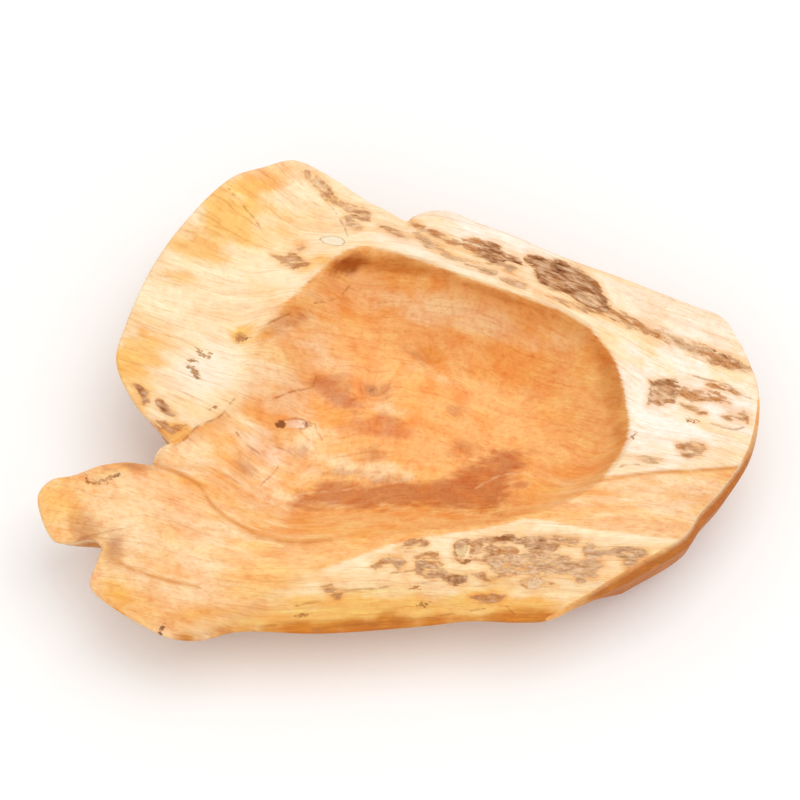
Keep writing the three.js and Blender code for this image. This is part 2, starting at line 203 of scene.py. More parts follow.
# Centripetal spline through a closed loop of points, at shares t of the way round
def alongLoop(points, t):
    place = np.asarray(t) % 1 * len(points)
    first = np.floor(place).astype(int)
    w = (place - first)[..., None]
    p0, p1, p2, p3 = (points[(first + k) % len(points)] for k in (-1, 0, 1, 2))
    steps = ((p0, p1), (p1, p2), (p2, p3))
    g0, g1, g2 = (np.sqrt(np.linalg.norm(b - a, axis=-1, keepdims=True)) for a, b in steps)
    leave = ((p1 - p0) / g0 - (p2 - p0) / (g0 + g1) + (p2 - p1) / g1) * g1
    arrive = ((p2 - p1) / g1 - (p3 - p1) / (g1 + g2) + (p3 - p2) / g2) * g1
    bend = 2 * (p1 - p2) + leave + arrive
    return p1 + leave * w - (bend + leave - (p2 - p1)) * w**2 + bend * w**3


# The outer edge: a spline through each rib's first point
def edgeAt(t):
    return alongLoop(bowlRibs[:, 0], t)


# The lip of the hollow: a spline through each rib's second point
def lipAt(t):
    return alongLoop(bowlRibs[:, 1], t)


# One where an angle meets a side, falling off either way as a bell curve
def nearSide(angle, side, spread):
    turn = np.angle(np.exp(1j * (angle - side)))
    return np.exp(-((turn / spread) ** 2))


# Values round a ring, evened by a bell curve over the neighbouring turn, as a function of the angle
def evenedRing(angles, values):
    turns = np.linspace(-np.pi, np.pi, bowlForm["turnSteps"])
    weight = nearSide(turns[:, None], angles[None], bowlForm["evenedSpread"])
    table = weight @ values / weight.sum(1)
    return lambda angle: np.interp(angle, turns, table)


# Share of the sawn side at a place on the edge: a bell curve of its heading, held at one
def sawnAt(points):
    heading = np.arctan2(points[..., 1], points[..., 0])
    near = nearSide(heading, bowlForm["sawnSide"], bowlForm["sawnSpread"])
    return np.minimum(1, bowlForm["sawnHold"] * near)


ringShares = np.arange(bowlForm["lipPoints"]) / bowlForm["lipPoints"]
lipRing, edgeRing = lipAt(ringShares), edgeAt(ringShares)
lipOffset = lipRing[:, :2] - hollowCentre
lipAngles = np.arctan2(lipOffset[:, 1], lipOffset[:, 0])
evenLipRadius = evenedRing(lipAngles, np.hypot(*lipOffset.T))
evenLipHeight = evenedRing(lipAngles, lipRing[:, 2])
edgeAngles = np.arctan2(edgeRing[:, 1], edgeRing[:, 0])
evenEdgeRadius = evenedRing(edgeAngles, np.hypot(edgeRing[:, 0], edgeRing[:, 1]))


# The carved hollow: floor to evened lip as a power of the distance from the middle, lower at the spout
def carvedHeight(x, y):
    dx, dy = x - hollowCentre[0], y - hollowCentre[1]
    angle = np.arctan2(dy, dx)
    top = evenLipHeight(angle)
    top = top - bowlForm["spoutDrop"] * nearSide(angle, bowlForm["spoutSide"], bowlForm["spoutSpread"])
    steep = 0.5 + 0.5 * np.cos(angle - bowlForm["steepSide"])
    power = bowlForm["gentleWall"] + (bowlForm["steepWall"] - bowlForm["gentleWall"]) * steep
    share = np.hypot(dx, dy) / evenLipRadius(angle)
    return bowlForm["floorThickness"] + (top - bowlForm["floorThickness"]) * share**power


lipRise = lipRing[:, 2] - carvedHeight(lipRing[:, 0], lipRing[:, 1])


# The hollow bent up to its lip: the carved height and the nearest lip points' rise, weighted by distance
def hollowHeight(x, y):
    gap = (x[..., None] - lipRing[:, 0]) ** 2 + (y[..., None] - lipRing[:, 1]) ** 2
    weight = np.exp(-gap / bowlForm["lipSoft"] ** 2)
    return carvedHeight(x, y) + weight @ lipRise / (bowlForm["lipHold"] + weight.sum(-1))


# Distance to the nearest point of a route that is cut into many short steps
def distanceTo(route, x, y):
    steps = np.linspace(0, len(route) - 1, bowlForm["seamSteps"])
    line = np.stack([np.interp(steps, np.arange(len(route)), route[:, k]) for k in (0, 1)], -1)
    return np.sqrt(np.min((x[..., None] - line[:, 0]) ** 2 + (y[..., None] - line[:, 1]) ** 2, -1))


# Depth of the seam of bark: a bell curve of the distance to its route
def seamDepth(x, y):
    depth, width = bowlForm["groove"]
    return depth * np.exp(-((distanceTo(seamRoute, x, y) / (width / 2)) ** 2))


# The underside: flat on the foot, then a power of the distance from it up to the evened edge
def bellyHeight(x, y):
    angle = np.arctan2(y, x)
    footX, footY = (size / 2 for size in bowlForm["footSize"])
    footRadius = 1 / np.hypot(np.cos(angle) / footX, np.sin(angle) / footY)
    right, back = bowlForm["underRise"]
    rise = bowlForm["underHeight"] + right * np.cos(angle) + back * np.sin(angle)
    share = np.maximum(0, np.hypot(x, y) - footRadius) / (evenEdgeRadius(angle) - footRadius)
    return rise * share ** bowlForm["bellyPower"]


bodyMesh = {
    "steps": 268,  # squares along each side of the top's lattice
    "lipShare": 0.56,  # share of the lattice that the hollow takes
    "roundSteps": 4,
    "wallSteps": 8,
    "bellySteps": 9,
    "lipWidth": 0.9,  # softening of the lip, in millimetres
    "crestWidth": 7,  # and on the crest of the lobe
    "ripple": (0.9, 45, 7),  # height, length and spacing of the ripples on the side wall
    "crestSide": math.radians(165),
    "crestSpread": math.radians(38),
    "softenTimes": 14,
    "lipShade": 11,  # painted shade: the heartwood is painted browner this far under the lip
    "shadeStrength": 0.45,
    "shadeSide": math.radians(18),
    "shadeSpread": math.radians(55),
    "calmLip": 3,  # relief dies out this near the lip
    "arrisShare": 0.25,  # the arris takes up no more of the rim
    "rippleClose": 40,  # ripples die out where the ring closes
    "sawnCalm": 0.7,  # and this much on the sawn side
    "sawnTint": (0.02, 0.6),  # share of sawing at which the colour of sawn wood starts and is full
    "sawnRings": (-1, 0.6),  # rings over which it starts there
    "liveRings": (3, 6),  # and over which the colour of live wood starts elsewhere
    "underRings": (0.6, 0.85),  # shares of the rings over which that of the underside starts
}


# A square lattice bent into a disc: squares become circles, so that no pole is crowded
def discLattice(steps):
    side = np.linspace(-1, 1, steps + 1)
    a, b = np.meshgrid(side, side, indexing="ij")
    wide = np.abs(a) >= np.abs(b)
    reach = np.where(wide, a, b)
    safe = np.where(reach == 0, 1, reach)
    turn = np.where(wide, b / safe, 2 - a / safe) * math.pi / 4
    turn = np.where(reach < 0, turn + math.pi, turn)
    return np.abs(reach), turn % (2 * math.pi)


# Indices of a lattice's faces, and of its border walked anticlockwise
def latticeFaces(steps):
    index = np.arange((steps + 1) ** 2).reshape(steps + 1, steps + 1)
    faces = np.stack([index[:-1, :-1], index[1:, :-1], index[1:, 1:], index[:-1, 1:]], -1).reshape(-1, 4)
    border = np.concatenate([index[:-1, 0], index[-1, :-1], index[:0:-1, -1], index[0, :0:-1]])
    return faces, border


# Plan direction into the wood: the edge's steps turned by a right angle, the nearest with most say
def intoWood(points):
    ahead = np.roll(edgeRing, -1, axis=0)
    gap = np.linalg.norm(points[:, None] - (edgeRing + ahead) / 2, axis=-1)
    weight = np.exp(-((gap / bowlForm["turnSpread"]) ** 2))
    steps = ahead - edgeRing
    inwards = weight @ np.stack([-steps[:, 1], steps[:, 0]], -1)
    return inwards / np.linalg.norm(inwards, axis=1, keepdims=True)


# Ribs are spread by the mean length of edge and lip between them
ribTable = np.linspace(0, 1, bowlForm["ribSteps"])
ribLength = sum(np.linalg.norm(np.diff(curve(ribTable), axis=0), axis=1) for curve in (edgeAt, lipAt))
ribShare = np.concatenate([[0], np.cumsum(ribLength)]) / ribLength.sum()
latticeReach, latticeTurn = discLattice(bodyMesh["steps"])
latticeRib = np.interp(latticeTurn / (2 * math.pi), ribShare, ribTable)

topLip, topEdge = lipAt(latticeRib), edgeAt(latticeRib)
facing = np.arctan2(topLip[..., 1] - hollowCentre[1], topLip[..., 0] - hollowCentre[0])
rimAcross = topEdge[..., :2] - topLip[..., :2]
rimWidth = np.linalg.norm(rimAcross, axis=-1)
inwardTable = intoWood(edgeAt(ribTable))


# The direction into the wood at ribs, read from its table
def inwardAt(ribs):
    return np.stack([np.interp(ribs, ribTable, inwardTable[:, k]) for k in (0, 1)], -1)


inwards = inwardAt(latticeRib)
chamferWidth, chamferDepth = bowlForm["chamfer"]
edgeRound = bowlForm["edgeRound"] + (chamferWidth - bowlForm["edgeRound"]) * sawnAt(topEdge)
edgeRound = np.minimum(edgeRound, bodyMesh["arrisShare"] * rimWidth)
topArris = topEdge[..., :2] + inwards * edgeRound[..., None]

# The hollow's plan runs out from its middle, rounder at first and on the lip at the end
hollowShare = np.minimum(latticeReach / bodyMesh["lipShare"], 1)
lipRadius = np.linalg.norm(topLip[..., :2] - hollowCentre, axis=-1)
evenRadius = evenLipRadius(facing)
hollowReach = hollowShare * (evenRadius + (lipRadius - evenRadius) * hollowShare**2) / lipRadius
rimShare = np.clip((latticeReach - bodyMesh["lipShare"]) / (1 - bodyMesh["lipShare"]), 0, 1)
inHollow = latticeReach < bodyMesh["lipShare"]
topPlan = np.where(
    inHollow[..., None],
    hollowCentre + (topLip[..., :2] - hollowCentre) * hollowReach[..., None],
    topLip[..., :2] + (topArris - topLip[..., :2]) * rimShare[..., None],
)
topX, topY = topPlan[..., 0], topPlan[..., 1]
shortOfLip = topLip[..., 2] - hollowHeight(topLip[..., 0], topLip[..., 1])
hollowZ = hollowHeight(topX, topY) + shortOfLip * hollowShare ** bowlForm["lipMeet"]
crown = bowlForm["rimCrown"] + bowlForm["frontCrown"] * np.maximum(0, -np.sin(facing)) ** 2
rimFall = (topEdge[..., 2] - topLip[..., 2]) * rimShare
rimZ = topLip[..., 2] + rimFall + crown * 4 * rimShare * (1 - rimShare)
rimZ = rimZ - seamDepth(topX, topY)
topZ = np.where(inHollow, hollowZ, rimZ)
# Millimetres from the lip along a rib
lipDistance = np.where(inHollow, (1 - hollowShare) * lipRadius, rimShare * rimWidth)
print("top lattice", topZ.shape)


# A lattice's heights evened with their four neighbours, as much as the mask says, several times over
def softened(z, mask, times):
    for _ in range(times):
        padded = np.pad(z, 1, mode="edge")
        mean = (padded[2:, 1:-1] + padded[:-2, 1:-1] + padded[1:-1, 2:] + padded[1:-1, :-2]) / 4
        z = z + mask * (mean - z)
    return z


crestShare = nearSide(facing, bodyMesh["crestSide"], bodyMesh["crestSpread"])
softWidth = bodyMesh["lipWidth"] + (bodyMesh["crestWidth"] - bodyMesh["lipWidth"]) * crestShare
topZ = softened(topZ, np.exp(-((lipDistance / softWidth) ** 2)), bodyMesh["softenTimes"])

# Direction of the grain, in degrees from +X, at pixels of the photograph
grainAnchors = {
    "lobeTip": (280, 185, -55),
    "lobeCrack": (250, 215, -46),
    "lobeShoulder": (200, 240, -38),
    "lobeMiddle": (200, 300, -10),
    "lobeLeft": (145, 355, -26),
    "lobeLow": (170, 420, -32),
    "ridgeNotch": (400, 225, -24),
    "ridgeMiddle": (520, 262, -24),
    "ridgeRight": (660, 320, -20),
    "rightRim": (690, 400, -13),
    "rightLow": (680, 450, -8),
    "tanFlat": (650, 500, 8),
    "frontRight": (600, 560, 4),
    "frontMiddle": (480, 575, -1),
    "frontLeft": (350, 600, 6),
    "farWall": (450, 300, -16),
    "farCorner": (350, 275, 8),
    "hollowRight": (570, 380, -38),
    "rightWall": (612, 420, -75),
    "hollowMiddle": (430, 400, -10),
    "hollowFront": (420, 500, 3),
    "hollowLeft": (290, 380, 10),
    "spoutBend": (235, 450, -50),
    "spoutEnd": (185, 465, -25),
    "crestFoot": (265, 335, 40),
    "tongueTip": (70, 500, -8),
    "tongueMiddle": (160, 520, -10),
    "tongueLow": (180, 590, -12),
    "tongueFoot": (260, 590, 8),
}
grainField = {
    "low": (-240, -180),
    "high": (240, 180),
    "pitch": 4,
    "spread": 26,  # reach of an anchor, in millimetres
    "anchorHeight": 65,
    "hold": 0.12,
    "rounds": 500,
    "margin": 0.001,  # keeps a reading inside the last square
    "leastPull": 1e-6,
    "leastHold": 0.02,
}
# Knots that the grain bends round: plan place, reach and push in millimetres
grainSwirls = {
    "knotSwirl": (-16, 19, 9, 6),
    "knotEye": (66, -44, 11, -5),
    "knotHollow": (20, 38, 7, 3.5),
    "knotLobe": (-87, 25, 9, 4),
    "knotSpout": (-59, -7, 13, -5),
    "rustRings": (60, 5, 30, 8),
}


# Sum of steps given between neighbours on a grid, as each point of it feels them
def gathered(stepX, stepY):
    total = np.zeros_like(stepX)
    total[:-1] -= stepX[:-1]
    total[1:] += stepX[:-1]
    total[:, :-1] -= stepY[:, :-1]
    total[:, 1:] += stepY[:, :-1]
    return total


# A field that keeps level along the headings and rises by its pitch across them, as nearly as can be:
# least squares of both, where the second counts for less, solved by conjugate gradients
def fieldAcross(heading, weight):
    cosine, sine = np.cos(heading), np.sin(heading)
    hold = grainField["hold"]

    def pulled(field):
        stepX = np.diff(field, axis=0, append=field[-1:])
        stepY = np.diff(field, axis=1, append=field[:, -1:])
        level = weight * (cosine * stepX + sine * stepY)
        rise = weight * hold * (cosine * stepY - sine * stepX)
        return gathered(cosine * level - sine * rise, sine * level + cosine * rise)

    target = weight * hold * grainField["pitch"]
    left = gathered(-sine * target, cosine * target)
    field, move = np.zeros_like(left), left
    for _ in range(grainField["rounds"]):
        pull = pulled(move)
        size = np.vdot(left, left) / np.vdot(move, pull)
        field, after = field + size * move, left - size * pull
        move = after + np.vdot(after, after) / np.vdot(left, left) * move
        left = after
    return field


# A field on a plan grid read at plan positions, by blending the four nearest values
def readField(field, x, y):
    low, pitch = grainField["low"], grainField["pitch"]
    px, py = (
        np.clip((place - start) / pitch, 0, size - 1 - grainField["margin"])
        for place, start, size in zip((x, y), low, field.shape)
    )
    i, j = px.astype(int), py.astype(int)
    fx, fy = px - i, py - j
    near = field[i, j] * (1 - fx) + field[i + 1, j] * fx
    far = field[i, j + 1] * (1 - fx) + field[i + 1, j + 1] * fx
    return near * (1 - fy) + far * fy


fieldX = np.arange(grainField["low"][0], grainField["high"][0], grainField["pitch"], float)
fieldY = np.arange(grainField["low"][1], grainField["high"][1], grainField["pitch"], float)
anchorPlan = np.array([planOf(u, v, grainField["anchorHeight"]) for u, v, _ in grainAnchors.values()])
anchorTurn = np.radians([turn for _, _, turn in grainAnchors.values()])
anchorX, anchorY = anchorPlan.T
anchorGap = (fieldX[:, None, None] - anchorX) ** 2 + (fieldY[None, :, None] - anchorY) ** 2
anchorPull = np.exp(-anchorGap / (2 * grainField["spread"] ** 2)) + grainField["leastPull"]
grainTurn = 0.5 * np.angle(anchorPull @ np.exp(2j * anchorTurn))
anchorHold = np.clip(anchorPull.sum(-1), grainField["leastHold"], 1)
alongField = fieldAcross(grainTurn - math.pi / 2, anchorHold)
acrossField = fieldAcross(grainTurn, anchorHold)


# Place along the grain and across it: the two fields, and each knot's push as a bell curve
def grainAt(x, y):
    along, across = readField(alongField, x, y), readField(acrossField, x, y)
    for knotX, knotY, reach, push in grainSwirls.values():
        across = across + push * np.exp(-((x - knotX) ** 2 + (y - knotY) ** 2) / reach**2)
    return along, across


# Bark, knots and the filling: plan place, length, width, and turn of the length in degrees
barkPatches = {
    "bark_lobe_tip": (-45, 112, 21, 7, -55),
    "bark_lobe_shoulder": (-25, 96, 20, 8, -31),
    "bark_lobe_crest": (-60, 71, 21, 7, -24),
    "bark_left_edge": (-138, 1, 11, 5, -54),
    "bark_left_middle": (-127, -9, 12, 5, -38),
    "bark_left_corner": (-119, -19, 9, 4.5, -30),
    "bark_seam_notch": (17, 83, 22, 7, -47),
    "bark_seam_short": (46, 75, 24, 10, -31),
    "bark_seam_large": (92, 56, 52, 17, -31),
    "bark_seam_strip": (137, 28, 40, 7, -18),
    "bark_seam_end": (172, 18, 25, 6, -12),
    "bark_right_inner": (142, -9, 18, 10, -27),
    "bark_right_middle": (166, -9, 24, 6, -10),
    "bark_right_outer": (174, -22, 24, 7, -9),
    "bark_right_low": (156, -40, 13, 5, -8),
    "bark_front_left": (-2, -98, 15, 6, -22),
    "bark_front_slant": (23, -104, 25, 6, -20),
    "bark_front_large": (71, -97, 56, 10, 2),
    "bark_front_right": (119, -94, 27, 6, 3),
    "bark_front_under": (70, -110, 14, 4.5, 0),
    "bark_front_fleck": (47, -115, 17, 4.5, 0),
}
knotPlaces = {
    "knot_lobe": (-87, 25, 9, 9, 0),
    "knot_pale": (-110, 11, 19, 11, -55),
    "knot_tongue": (-160, -53, 17, 6, -2),
    "knot_spout": (-59, -7, 18, 5, 20),
    "knot_hollow": (20, 38, 10, 8, -9),
    "knot_swirl": (-16, 19, 8, 7, 5),
    "knot_eye": (66, -44, 13, 8, -12),
    "knot_front": (32, -94, 10, 8, -90),
}
fillPlaces = {"fill_lobe": (-37, 80, 17, 6, -10)}
seatKinds = {
    "bark": {"wobble": 1.0, "pocket": 2.6, "body": 2.4, "slope": (0.5, 0.72), "crumbs": 0.0},
    "knot": {"wobble": 0.4, "pocket": 3.4, "body": 3.2, "slope": (0.5, 0.72), "crumbs": 0.1},
    "fill": {"wobble": 0.6, "pocket": 3.0, "body": 2.8, "slope": (0.5, 0.72), "crumbs": 0.1},
}
seatWaver = ((2, 1, 0.09), (3, 2, 0.07), (5, 0, 0.05))  # waves round, times the phase, and size


# Wavering of a seat's outline: waves round it, each with a phase from its place
def seatWaves(seat, kind, angle):
    phase = seat[0] + seat[1]
    waver = sum(size * np.sin(n * angle + times * phase) for n, times, size in seatWaver)
    return 1 + seatKinds[kind]["wobble"] * waver


# How far out a plan position is in a seat: 0 in its middle, 1 on its wavering outline
def seatReach(seat, kind, x, y):
    seatX, seatY, length, width, turn = seat
    heading = math.radians(turn)
    dx, dy = x - seatX, y - seatY
    a = (dx * math.cos(heading) + dy * math.sin(heading)) / (length / 2)
    b = (dy * math.cos(heading) - dx * math.sin(heading)) / (width / 2)
    return np.hypot(a, b) / seatWaves(seat, kind, np.arctan2(b, a))


# Pixels inside a closed outline: the distance to its nearest side, negative outside
def insideOutline(outline, u, v):
    nearest = np.full(u.shape, np.inf)
    inside = np.zeros(u.shape, bool)
    for (au, av), (bu, bv) in zip(outline, outline[1:] + outline[:1]):
        du, dv = bu - au, bv - av
        share = np.clip(((u - au) * du + (v - av) * dv) / (du * du + dv * dv), 0, 1)
        nearest = np.minimum(nearest, (u - au - share * du) ** 2 + (v - av - share * dv) ** 2)
        inside ^= ((av > v) != (bv > v)) & (u < au + (v - av) * du / (dv or 1))
    return np.where(inside, 1, -1) * np.sqrt(nearest)


# How far out a pixel is in an oval given by its middle, half length, half width and turn down the right
def ovalReach(oval, u, v):
    ovalU, ovalV, halfLength, halfWidth, turn = oval
    tilt = math.radians(turn)
    du, dv = u - ovalU, v - ovalV
    a = (du * math.cos(tilt) + dv * math.sin(tilt)) / halfLength
    b = (dv * math.cos(tilt) - du * math.sin(tilt)) / halfWidth
    return np.hypot(a, b)


# Pixels inside a mark, which is an outline or an oval
def insideMark(mark, u, v):
    if np.ndim(mark) == 1:
        return (1 - ovalReach(mark, u, v)) * mark[3]
    return insideOutline(mark, u, v)


# Pixels from a line of straight steps, positive on one side of it and negative on the other
def besideLine(line, u, v):
    nearest = np.full(u.shape, np.inf)
    beside = np.full(u.shape, np.inf)
    for (au, av), (bu, bv) in zip(line[:-1], line[1:]):
        du, dv = bu - au, bv - av
        share = np.clip(((u - au) * du + (v - av) * dv) / (du * du + dv * dv), 0, 1)
        gap = (u - au - share * du) ** 2 + (v - av - share * dv) ** 2
        side = np.where(du * (v - av) - dv * (u - au) < 0, -1, 1)
        beside = np.where(gap < nearest, side * np.sqrt(gap), beside)
        nearest = np.minimum(nearest, gap)
    return beside


# Heartwood: the hollow, the tongue and the flat front right; all round it is sapwood
heartOutline = [
    (345, 251), (358, 246), (372, 247), (400, 254), (425, 262), (450, 271), (480, 282), (510, 292),
    (540, 303), (565, 313), (590, 328), (606, 347), (616, 362), (624, 388), (629, 425), (627, 440),
    (620, 455), (612, 466), (604, 476), (625, 476), (660, 472), (700, 470), (745, 467), (790, 465),
    (790, 520), (720, 600), (690, 541), (650, 536), (600, 531), (550, 521), (522, 519), (505, 524),
    (470, 531), (420, 537), (385, 546), (340, 563), (317, 572), (298, 585), (269, 606), (240, 616),
    (214, 624), (171, 636), (150, 660), (10, 660), (10, 440), (60, 460), (157, 444), (172, 446),
    (183, 441), (190, 434), (197, 427), (204, 424), (217, 418), (223, 414), (230, 404), (235, 398),
    (241, 392), (243, 383), (251, 366), (251, 354), (248, 347), (254, 328), (264, 322), (277, 310),
    (294, 295), (306, 284), (331, 260),
]
# Colours of the wood; shade is the colour of painted shade, and brown that of the far corner's painted shade
# and stain
woodColours = {
    "sap": "#ffe8c0",
    "chalk": "#fff5e6",
    "cream": "#feedd4",
    "honey": "#fcc872",
    "gold": "#f8bb58",
    "heart": "#fcc680",
    "tan": "#fed6a2",
    "peach": "#fac08a",
    "pinkish": "#f5c49c",
    "shade": "#ca7a1e",
    "brown": "#a65a10",
    "rose": "#d98c5c",
    "amber": "#f2a02e",
    "stain": "#dca46c",
    "sawn": "#bd6f1c",
    "live": "#d99a4c",
    "under": "#dcb47e",
}
# Broad washes, laid one over another: middle pixel, half length, half width, turn, colour, strength
sapWashes = {
    "lobeTip": (268, 178, 46, 20, -14, "peach", 0.9),
    "lobeGold": (225, 222, 78, 34, -42, "gold", 0.75),
    "lobeTop": (240, 215, 62, 40, 40, "honey", 0.75),
    "lobePaleBand": (318, 212, 46, 17, 40, "sap", 0.9),
    "lobePale": (205, 372, 42, 30, 0, "chalk", 0.5),
    "lobeKnot": (247, 335, 18, 13, 10, "gold", 0.9),
    "lobeKnotLow": (258, 345, 10, 16, 20, "amber", 0.45),
    "lobeLeft": (140, 352, 36, 32, 0, "gold", 0.75),
    "lobeEdge": (130, 380, 24, 46, -20, "honey", 0.6),
    "lobeLow": (178, 434, 22, 14, 0, "gold", 0.8),
    "lobeInner": (318, 262, 30, 9, -30, "gold", 0.6),
    "ridgeInner": (430, 252, 110, 12, 22, "cream", 0.8),
    # Pale sapwood on the outer ridge and the right rim, painted near white: partly the wood's colour, partly
    # painted light where these faces turn towards the lamp
    "ridgeOuterSapAndPaintedLight": (490, 232, 140, 22, 17, "chalk", 1.0),
    "ridgeRight": (670, 310, 100, 34, 22, "cream", 0.9),
    "rightRim": (675, 405, 95, 75, 0, "chalk", 1.0),
    "frontBand": (430, 585, 250, 26, -4, "honey", 0.3),
    "frontLow": (400, 614, 290, 28, -3, "gold", 0.85),
    # Painted shade: the bottom of the front, which faces away from the light, darkened
    "frontBottomShade": (390, 630, 290, 16, -3, "shade", 0.95),
    "frontRight": (640, 575, 70, 22, -28, "honey", 0.5),
}
heartWashes = {
    "tongue": (140, 545, 185, 100, 8, "tan", 1.0),
    "tongueTip": (58, 505, 26, 26, 0, "honey", 0.6),
    "tongueStain": (84, 526, 20, 14, 0, "stain", 0.65),
    "tongueStainLow": (114, 552, 11, 20, 0, "stain", 0.7),
    "tongueTopEdge": (138, 467, 20, 5, 4, "stain", 0.8),
    "tongueAmber": (119, 592, 30, 18, 38, "honey", 0.7),
    "tongueYellow": (255, 578, 48, 24, -10, "honey", 0.6),
    "tonguePale": (190, 592, 34, 14, -8, "sap", 0.35),
    "tongueMiddle": (180, 540, 75, 42, 0, "sap", 0.5),
    "tongueGold": (195, 615, 34, 9, -8, "gold", 0.5),
    "tongueTop": (182, 479, 30, 8, 26, "amber", 0.5),
    "tanFlat": (660, 508, 120, 44, -3, "tan", 1.0),
    "tanLight": (670, 500, 90, 26, -3, "sap", 0.4),
    "tanPink": (690, 498, 60, 18, -6, "pinkish", 0.4),
    "tanFront": (625, 525, 60, 9, 4, "peach", 0.8),
    "spout": (190, 458, 54, 32, 15, "sap", 0.95),
    "spoutPale": (184, 459, 44, 20, 20, "cream", 0.6),
    "leftSoft": (282, 385, 66, 74, 10, "sap", 0.85),
    "leftPink": (262, 470, 56, 36, 10, "sap", 0.7),
    "leftPale": (263, 446, 32, 22, 30, "chalk", 0.85),
    "plugPale": (294, 440, 24, 12, -5, "sap", 0.9),
    "heartRose": (376, 426, 44, 14, 8, "rose", 0.75),
    "swirlRose": (335, 392, 34, 16, 22, "rose", 0.4),
    "crestFlush": (236, 404, 14, 40, 28, "sap", 0.6),
    "footPale": (276, 526, 26, 9, 5, "sap", 0.5),
    # Painted light: the middle of the far wall, below the shade, painted lighter as where the light falls on
    # it
    "farTanPaintedLight": (455, 312, 130, 24, 14, "tan", 0.9),
    "farPaintedLight": (470, 322, 110, 18, 14, "sap", 0.35),
    # Painted shade under the far lip in farShade and farEdgeShade; farCorner is painted shade and a brown
    # stain together
    "farShade": (405, 268, 82, 12, 10, "shade", 0.72),
    "farEdgeShade": (500, 296, 70, 6, 20, "shade", 0.5),
    "farCorner": (348, 264, 32, 11, -18, "brown", 0.95),
    # Painted shade at the foot of the lobe's crest
    "crestFoot": (280, 322, 34, 9, -38, "shade", 0.4),
    "rightShade": (612, 395, 14, 62, -12, "shade", 0.4),
}
# Stains with a border that can be seen: kind, and an outline or an oval
stainMarks = {
    "paleStreak": ("pale", [
        (352, 404), (366, 401), (389, 404), (412, 411), (410, 418), (389, 415), (369, 410),
    ]),
    "paleMiddle": ("pale", [
        (325, 459), (343, 453), (355, 463), (389, 462), (412, 470), (416, 478), (393, 485), (372, 482),
        (355, 476), (332, 470),
    ]),
    "palePlug": ("pale", [
        (272, 429), (292, 430), (315, 424), (317, 433), (306, 443), (297, 452), (280, 447), (272, 438),
    ]),
    "paleDash": ("pale", (438, 377, 14, 2.4, 24)),
    "paleLow": ("pale", (350, 505, 24, 2, 2)),
    "rustBand": ("rust", [
        (297, 494), (338, 480), (361, 483), (372, 487), (393, 487), (401, 482), (420, 483), (448, 477),
        (478, 462), (500, 458), (512, 470), (505, 500), (500, 511), (420, 506), (343, 509), (292, 508),
    ]),
    "rustCore": ("rust", (392, 493, 34, 13, 3)),
    "rustRight": ("rust", (500, 466, 26, 14, -20)),
    "rustLip": ("rust", (300, 318, 6, 2, -34)),
    "plumTongue": ("plum", (88, 531, 10, 5, 20)),
    "plumTongueLow": ("plum", (114, 547, 7, 10, 10)),
    "plumTongueEdge": ("plum", (133, 467, 12, 3, 4)),
    "plumKnot": ("plum", (374, 390, 14, 7, 10)),
    "plumSwirl": ("plum", (340, 398, 24, 9, 28)),
    "plumHigh": ("plum", (334, 386, 20, 12, 12)),
    "plumCore": ("plum", (391, 420, 9, 5, 20)),
    "plumRight": ("plum", (465, 449, 12, 8, 10)),
    "plumDot": ("plum", (454, 412, 7, 5, 0)),
    "plumLow": ("plum", (372, 455, 10, 6, -10)),
    "plumLeft": ("plum", (244, 468, 11, 7, 30)),
    "plumPlug": ("plum", (307, 449, 9, 5, -35)),
    "plumRing": ("plum", (420, 356, 10, 5, 30)),
    "plumFoot": ("plum", (350, 472, 30, 4, 6)),
    "amberPatch": ("amber", (331, 416, 19, 11, 20)),
    "amberFoot": ("amber", (303, 522, 13, 5, 0)),
    "amberTongue": ("amber", (120, 598, 14, 7, 40)),
    "amberSpot": ("amber", (324, 264, 6, 3, 40)),
    "amberRing": ("amber", (433, 355, 11, 8, 30)),
    "amberLip": ("amber", (265, 335, 9, 5, -40)),
    "edgeDot": ("amber", (143, 331, 6, 4, 20)),
    "plugWhite": ("plug", [
        (285, 421), (292, 419), (300, 419.5), (306, 420.5), (310, 423.5), (304, 427.5), (295, 428),
        (286, 427.5),
    ]),
    "plugKnob": ("ink", (281, 424.2, 5, 3.8, 0)),
    "plugEnd": ("fleck", (306, 424, 3, 2, 30)),
    "knotSlit": ("ink", (243.5, 339.2, 5, 1.7, -12)),
    "holeHigh": ("fleck", (201, 352.5, 5.5, 2.6, 38)),
    "holeRight": ("fleck", (209, 355.5, 3, 2.4, -60)),
    "holeLeft": ("fleck", (192, 360.5, 4.5, 1.6, 0)),
    "holeLow": ("fleck", (195.5, 373, 6.5, 3.4, 60)),
    "holeDot": ("fleck", (188, 366.5, 2, 1.8, 0)),
    "lobeFleck": ("fleck", (213, 407.5, 4, 2, -15)),
    "tongueKnotLeft": ("fleck", (87, 480, 4, 1.7, 80)),
    "tongueKnotLow": ("fleck", (93.5, 482.5, 5, 1.6, 15)),
    "tongueKnotMiddle": ("fleck", (104, 480.5, 4, 1.6, -20)),
    "tongueKnotHigh": ("fleck", (111, 478, 4.5, 1.7, -45)),
    "tongueKnotEnd": ("ink", (117.5, 475, 3.5, 1.7, -15)),
    "largeSlit": ("ink", (563, 264, 8, 1.9, 28)),
    "lipTick": ("fleck", (633, 436.5, 3.5, 1.6, -55)),
    "rightDot": ("fleck", (691.5, 421, 6, 1.8, 10)),
    "bottomCrack": ("ink", (162, 628, 5, 1.8, -65)),
    "frontDot": ("fleck", (424, 604.5, 5, 2.2, 0)),
    "frontDotHigh": ("fleck", (415, 588, 4, 2, 5)),
    "frontDotLow": ("fleck", (301, 615, 6, 2, -8)),
}
stainKinds = ("pale", "rust", "plum", "amber", "plug", "fleck", "ink")
